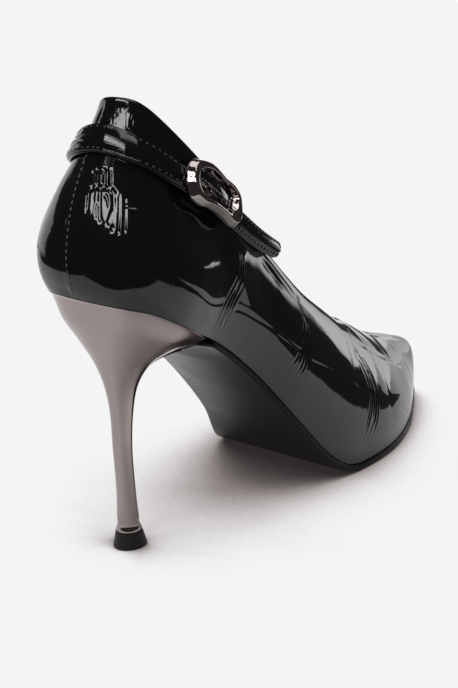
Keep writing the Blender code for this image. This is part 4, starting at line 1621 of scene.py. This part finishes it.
def make_top_light():
    """Soft light from above."""
    lamp = bpy.data.lights.new("soft_top", "SUN")
    lamp.energy = SUN
    lamp.angle = math.radians(SUN_SPREAD)
    lamp.color = SUN_TINT
    item = bpy.data.objects.new("soft_top", lamp)
    bpy.context.scene.collection.objects.link(item)
    item.rotation_euler = Vector(-towards(*SUN_FROM)).to_track_quat("-Z", "Y").to_euler()
    item.visible_glossy = False
    item.visible_camera = False


def make_world():
    """Even light for the shoe, a pale ground for the camera, a dim room for gloss."""
    world = bpy.data.worlds.new("studio")
    bpy.context.scene.world = world
    world.use_nodes = True
    tree = world.node_tree
    ground = tree.nodes["Background"]
    path = add_node(tree, "ShaderNodeLightPath")
    pale = ranged(tree, path.outputs["Is Camera Ray"], 0.0, 1.0, AMBIENT, PALE)
    dim = scaled(tree, path.outputs["Is Glossy Ray"], DIM - AMBIENT)
    tree.links.new(summed(tree, pale, dim), ground.inputs["Strength"])
    tree.links.new(mixed(tree, path.outputs["Is Camera Ray"], AMBIENT_TINT, WHITE), ground.inputs["Color"])


def make_camera():
    """Long lens at the height and side of the shoe's outer back quarter."""
    lens = bpy.data.cameras.new("camera")
    lens.sensor_fit = "AUTO"
    lens.sensor_width = SENSOR
    lens.lens = FOCAL_PIXELS / PHOTO_HEIGHT * SENSOR
    lens.clip_start = 0.01
    lens.clip_end = 50.0
    item = bpy.data.objects.new("camera", lens)
    bpy.context.scene.collection.objects.link(item)
    back = -towards(math.degrees(CAMERA_AZIMUTH), -math.degrees(CAMERA_ELEVATION))
    right = np.array([math.sin(CAMERA_AZIMUTH), -math.cos(CAMERA_AZIMUTH), 0.0])
    rise = np.cross(back, right)
    turned_right = math.cos(CAMERA_ROLL) * right + math.sin(CAMERA_ROLL) * rise
    turned_rise = math.cos(CAMERA_ROLL) * rise - math.sin(CAMERA_ROLL) * right
    place = (CAMERA_AIM + SHIFT + back * CAMERA_DISTANCE) * MM
    columns = np.column_stack([turned_right, turned_rise, back, place])
    item.matrix_world = Matrix([list(row) for row in columns] + [[0.0, 0.0, 0.0, 1.0]])
    bpy.context.scene.camera = item


def dress():
    """Every piece of the shoe with its finish."""
    grain = grain_group()
    leather = patent_leather(grain, "patent_leather", ripple=0.01, crackle=0.012, stretch=(38.0, 9.0))
    strap_skin = patent_leather(grain, "strap_patent", ripple=0.03, crackle=0.0, stretch=(9.0, 90.0))
    lining = lining_leather(grain)
    thread = thread_with_painted_sheen(grain)
    heel_metal = gunmetal(grain, "heel_plating", (0.318, 0.271, 0.262), low=0.06, high=0.1)
    ring_metal = gunmetal(grain, "hardware_plating", (0.34, 0.3, 0.29), low=0.04, high=0.08)
    path = StrapPath()
    make_upper(leather, lining)
    make_insole(lining)
    make_outsole(sole_leather(grain), edge_ink(grain))
    make_heel(heel_metal)
    make_heel_tip(tip_rubber(grain))
    make_strap(path, strap_skin)
    make_strap_stitches(path, thread)
    make_seam_stitches(thread)
    make_buckle(path, ring_metal)
    make_prong(path, ring_metal)
    make_eyelet(path, ring_metal)


dress()
make_floor()
make_walls()
make_cards()
make_top_light()
make_world()
make_camera()
bpy.context.scene.view_settings.view_transform = "Standard"
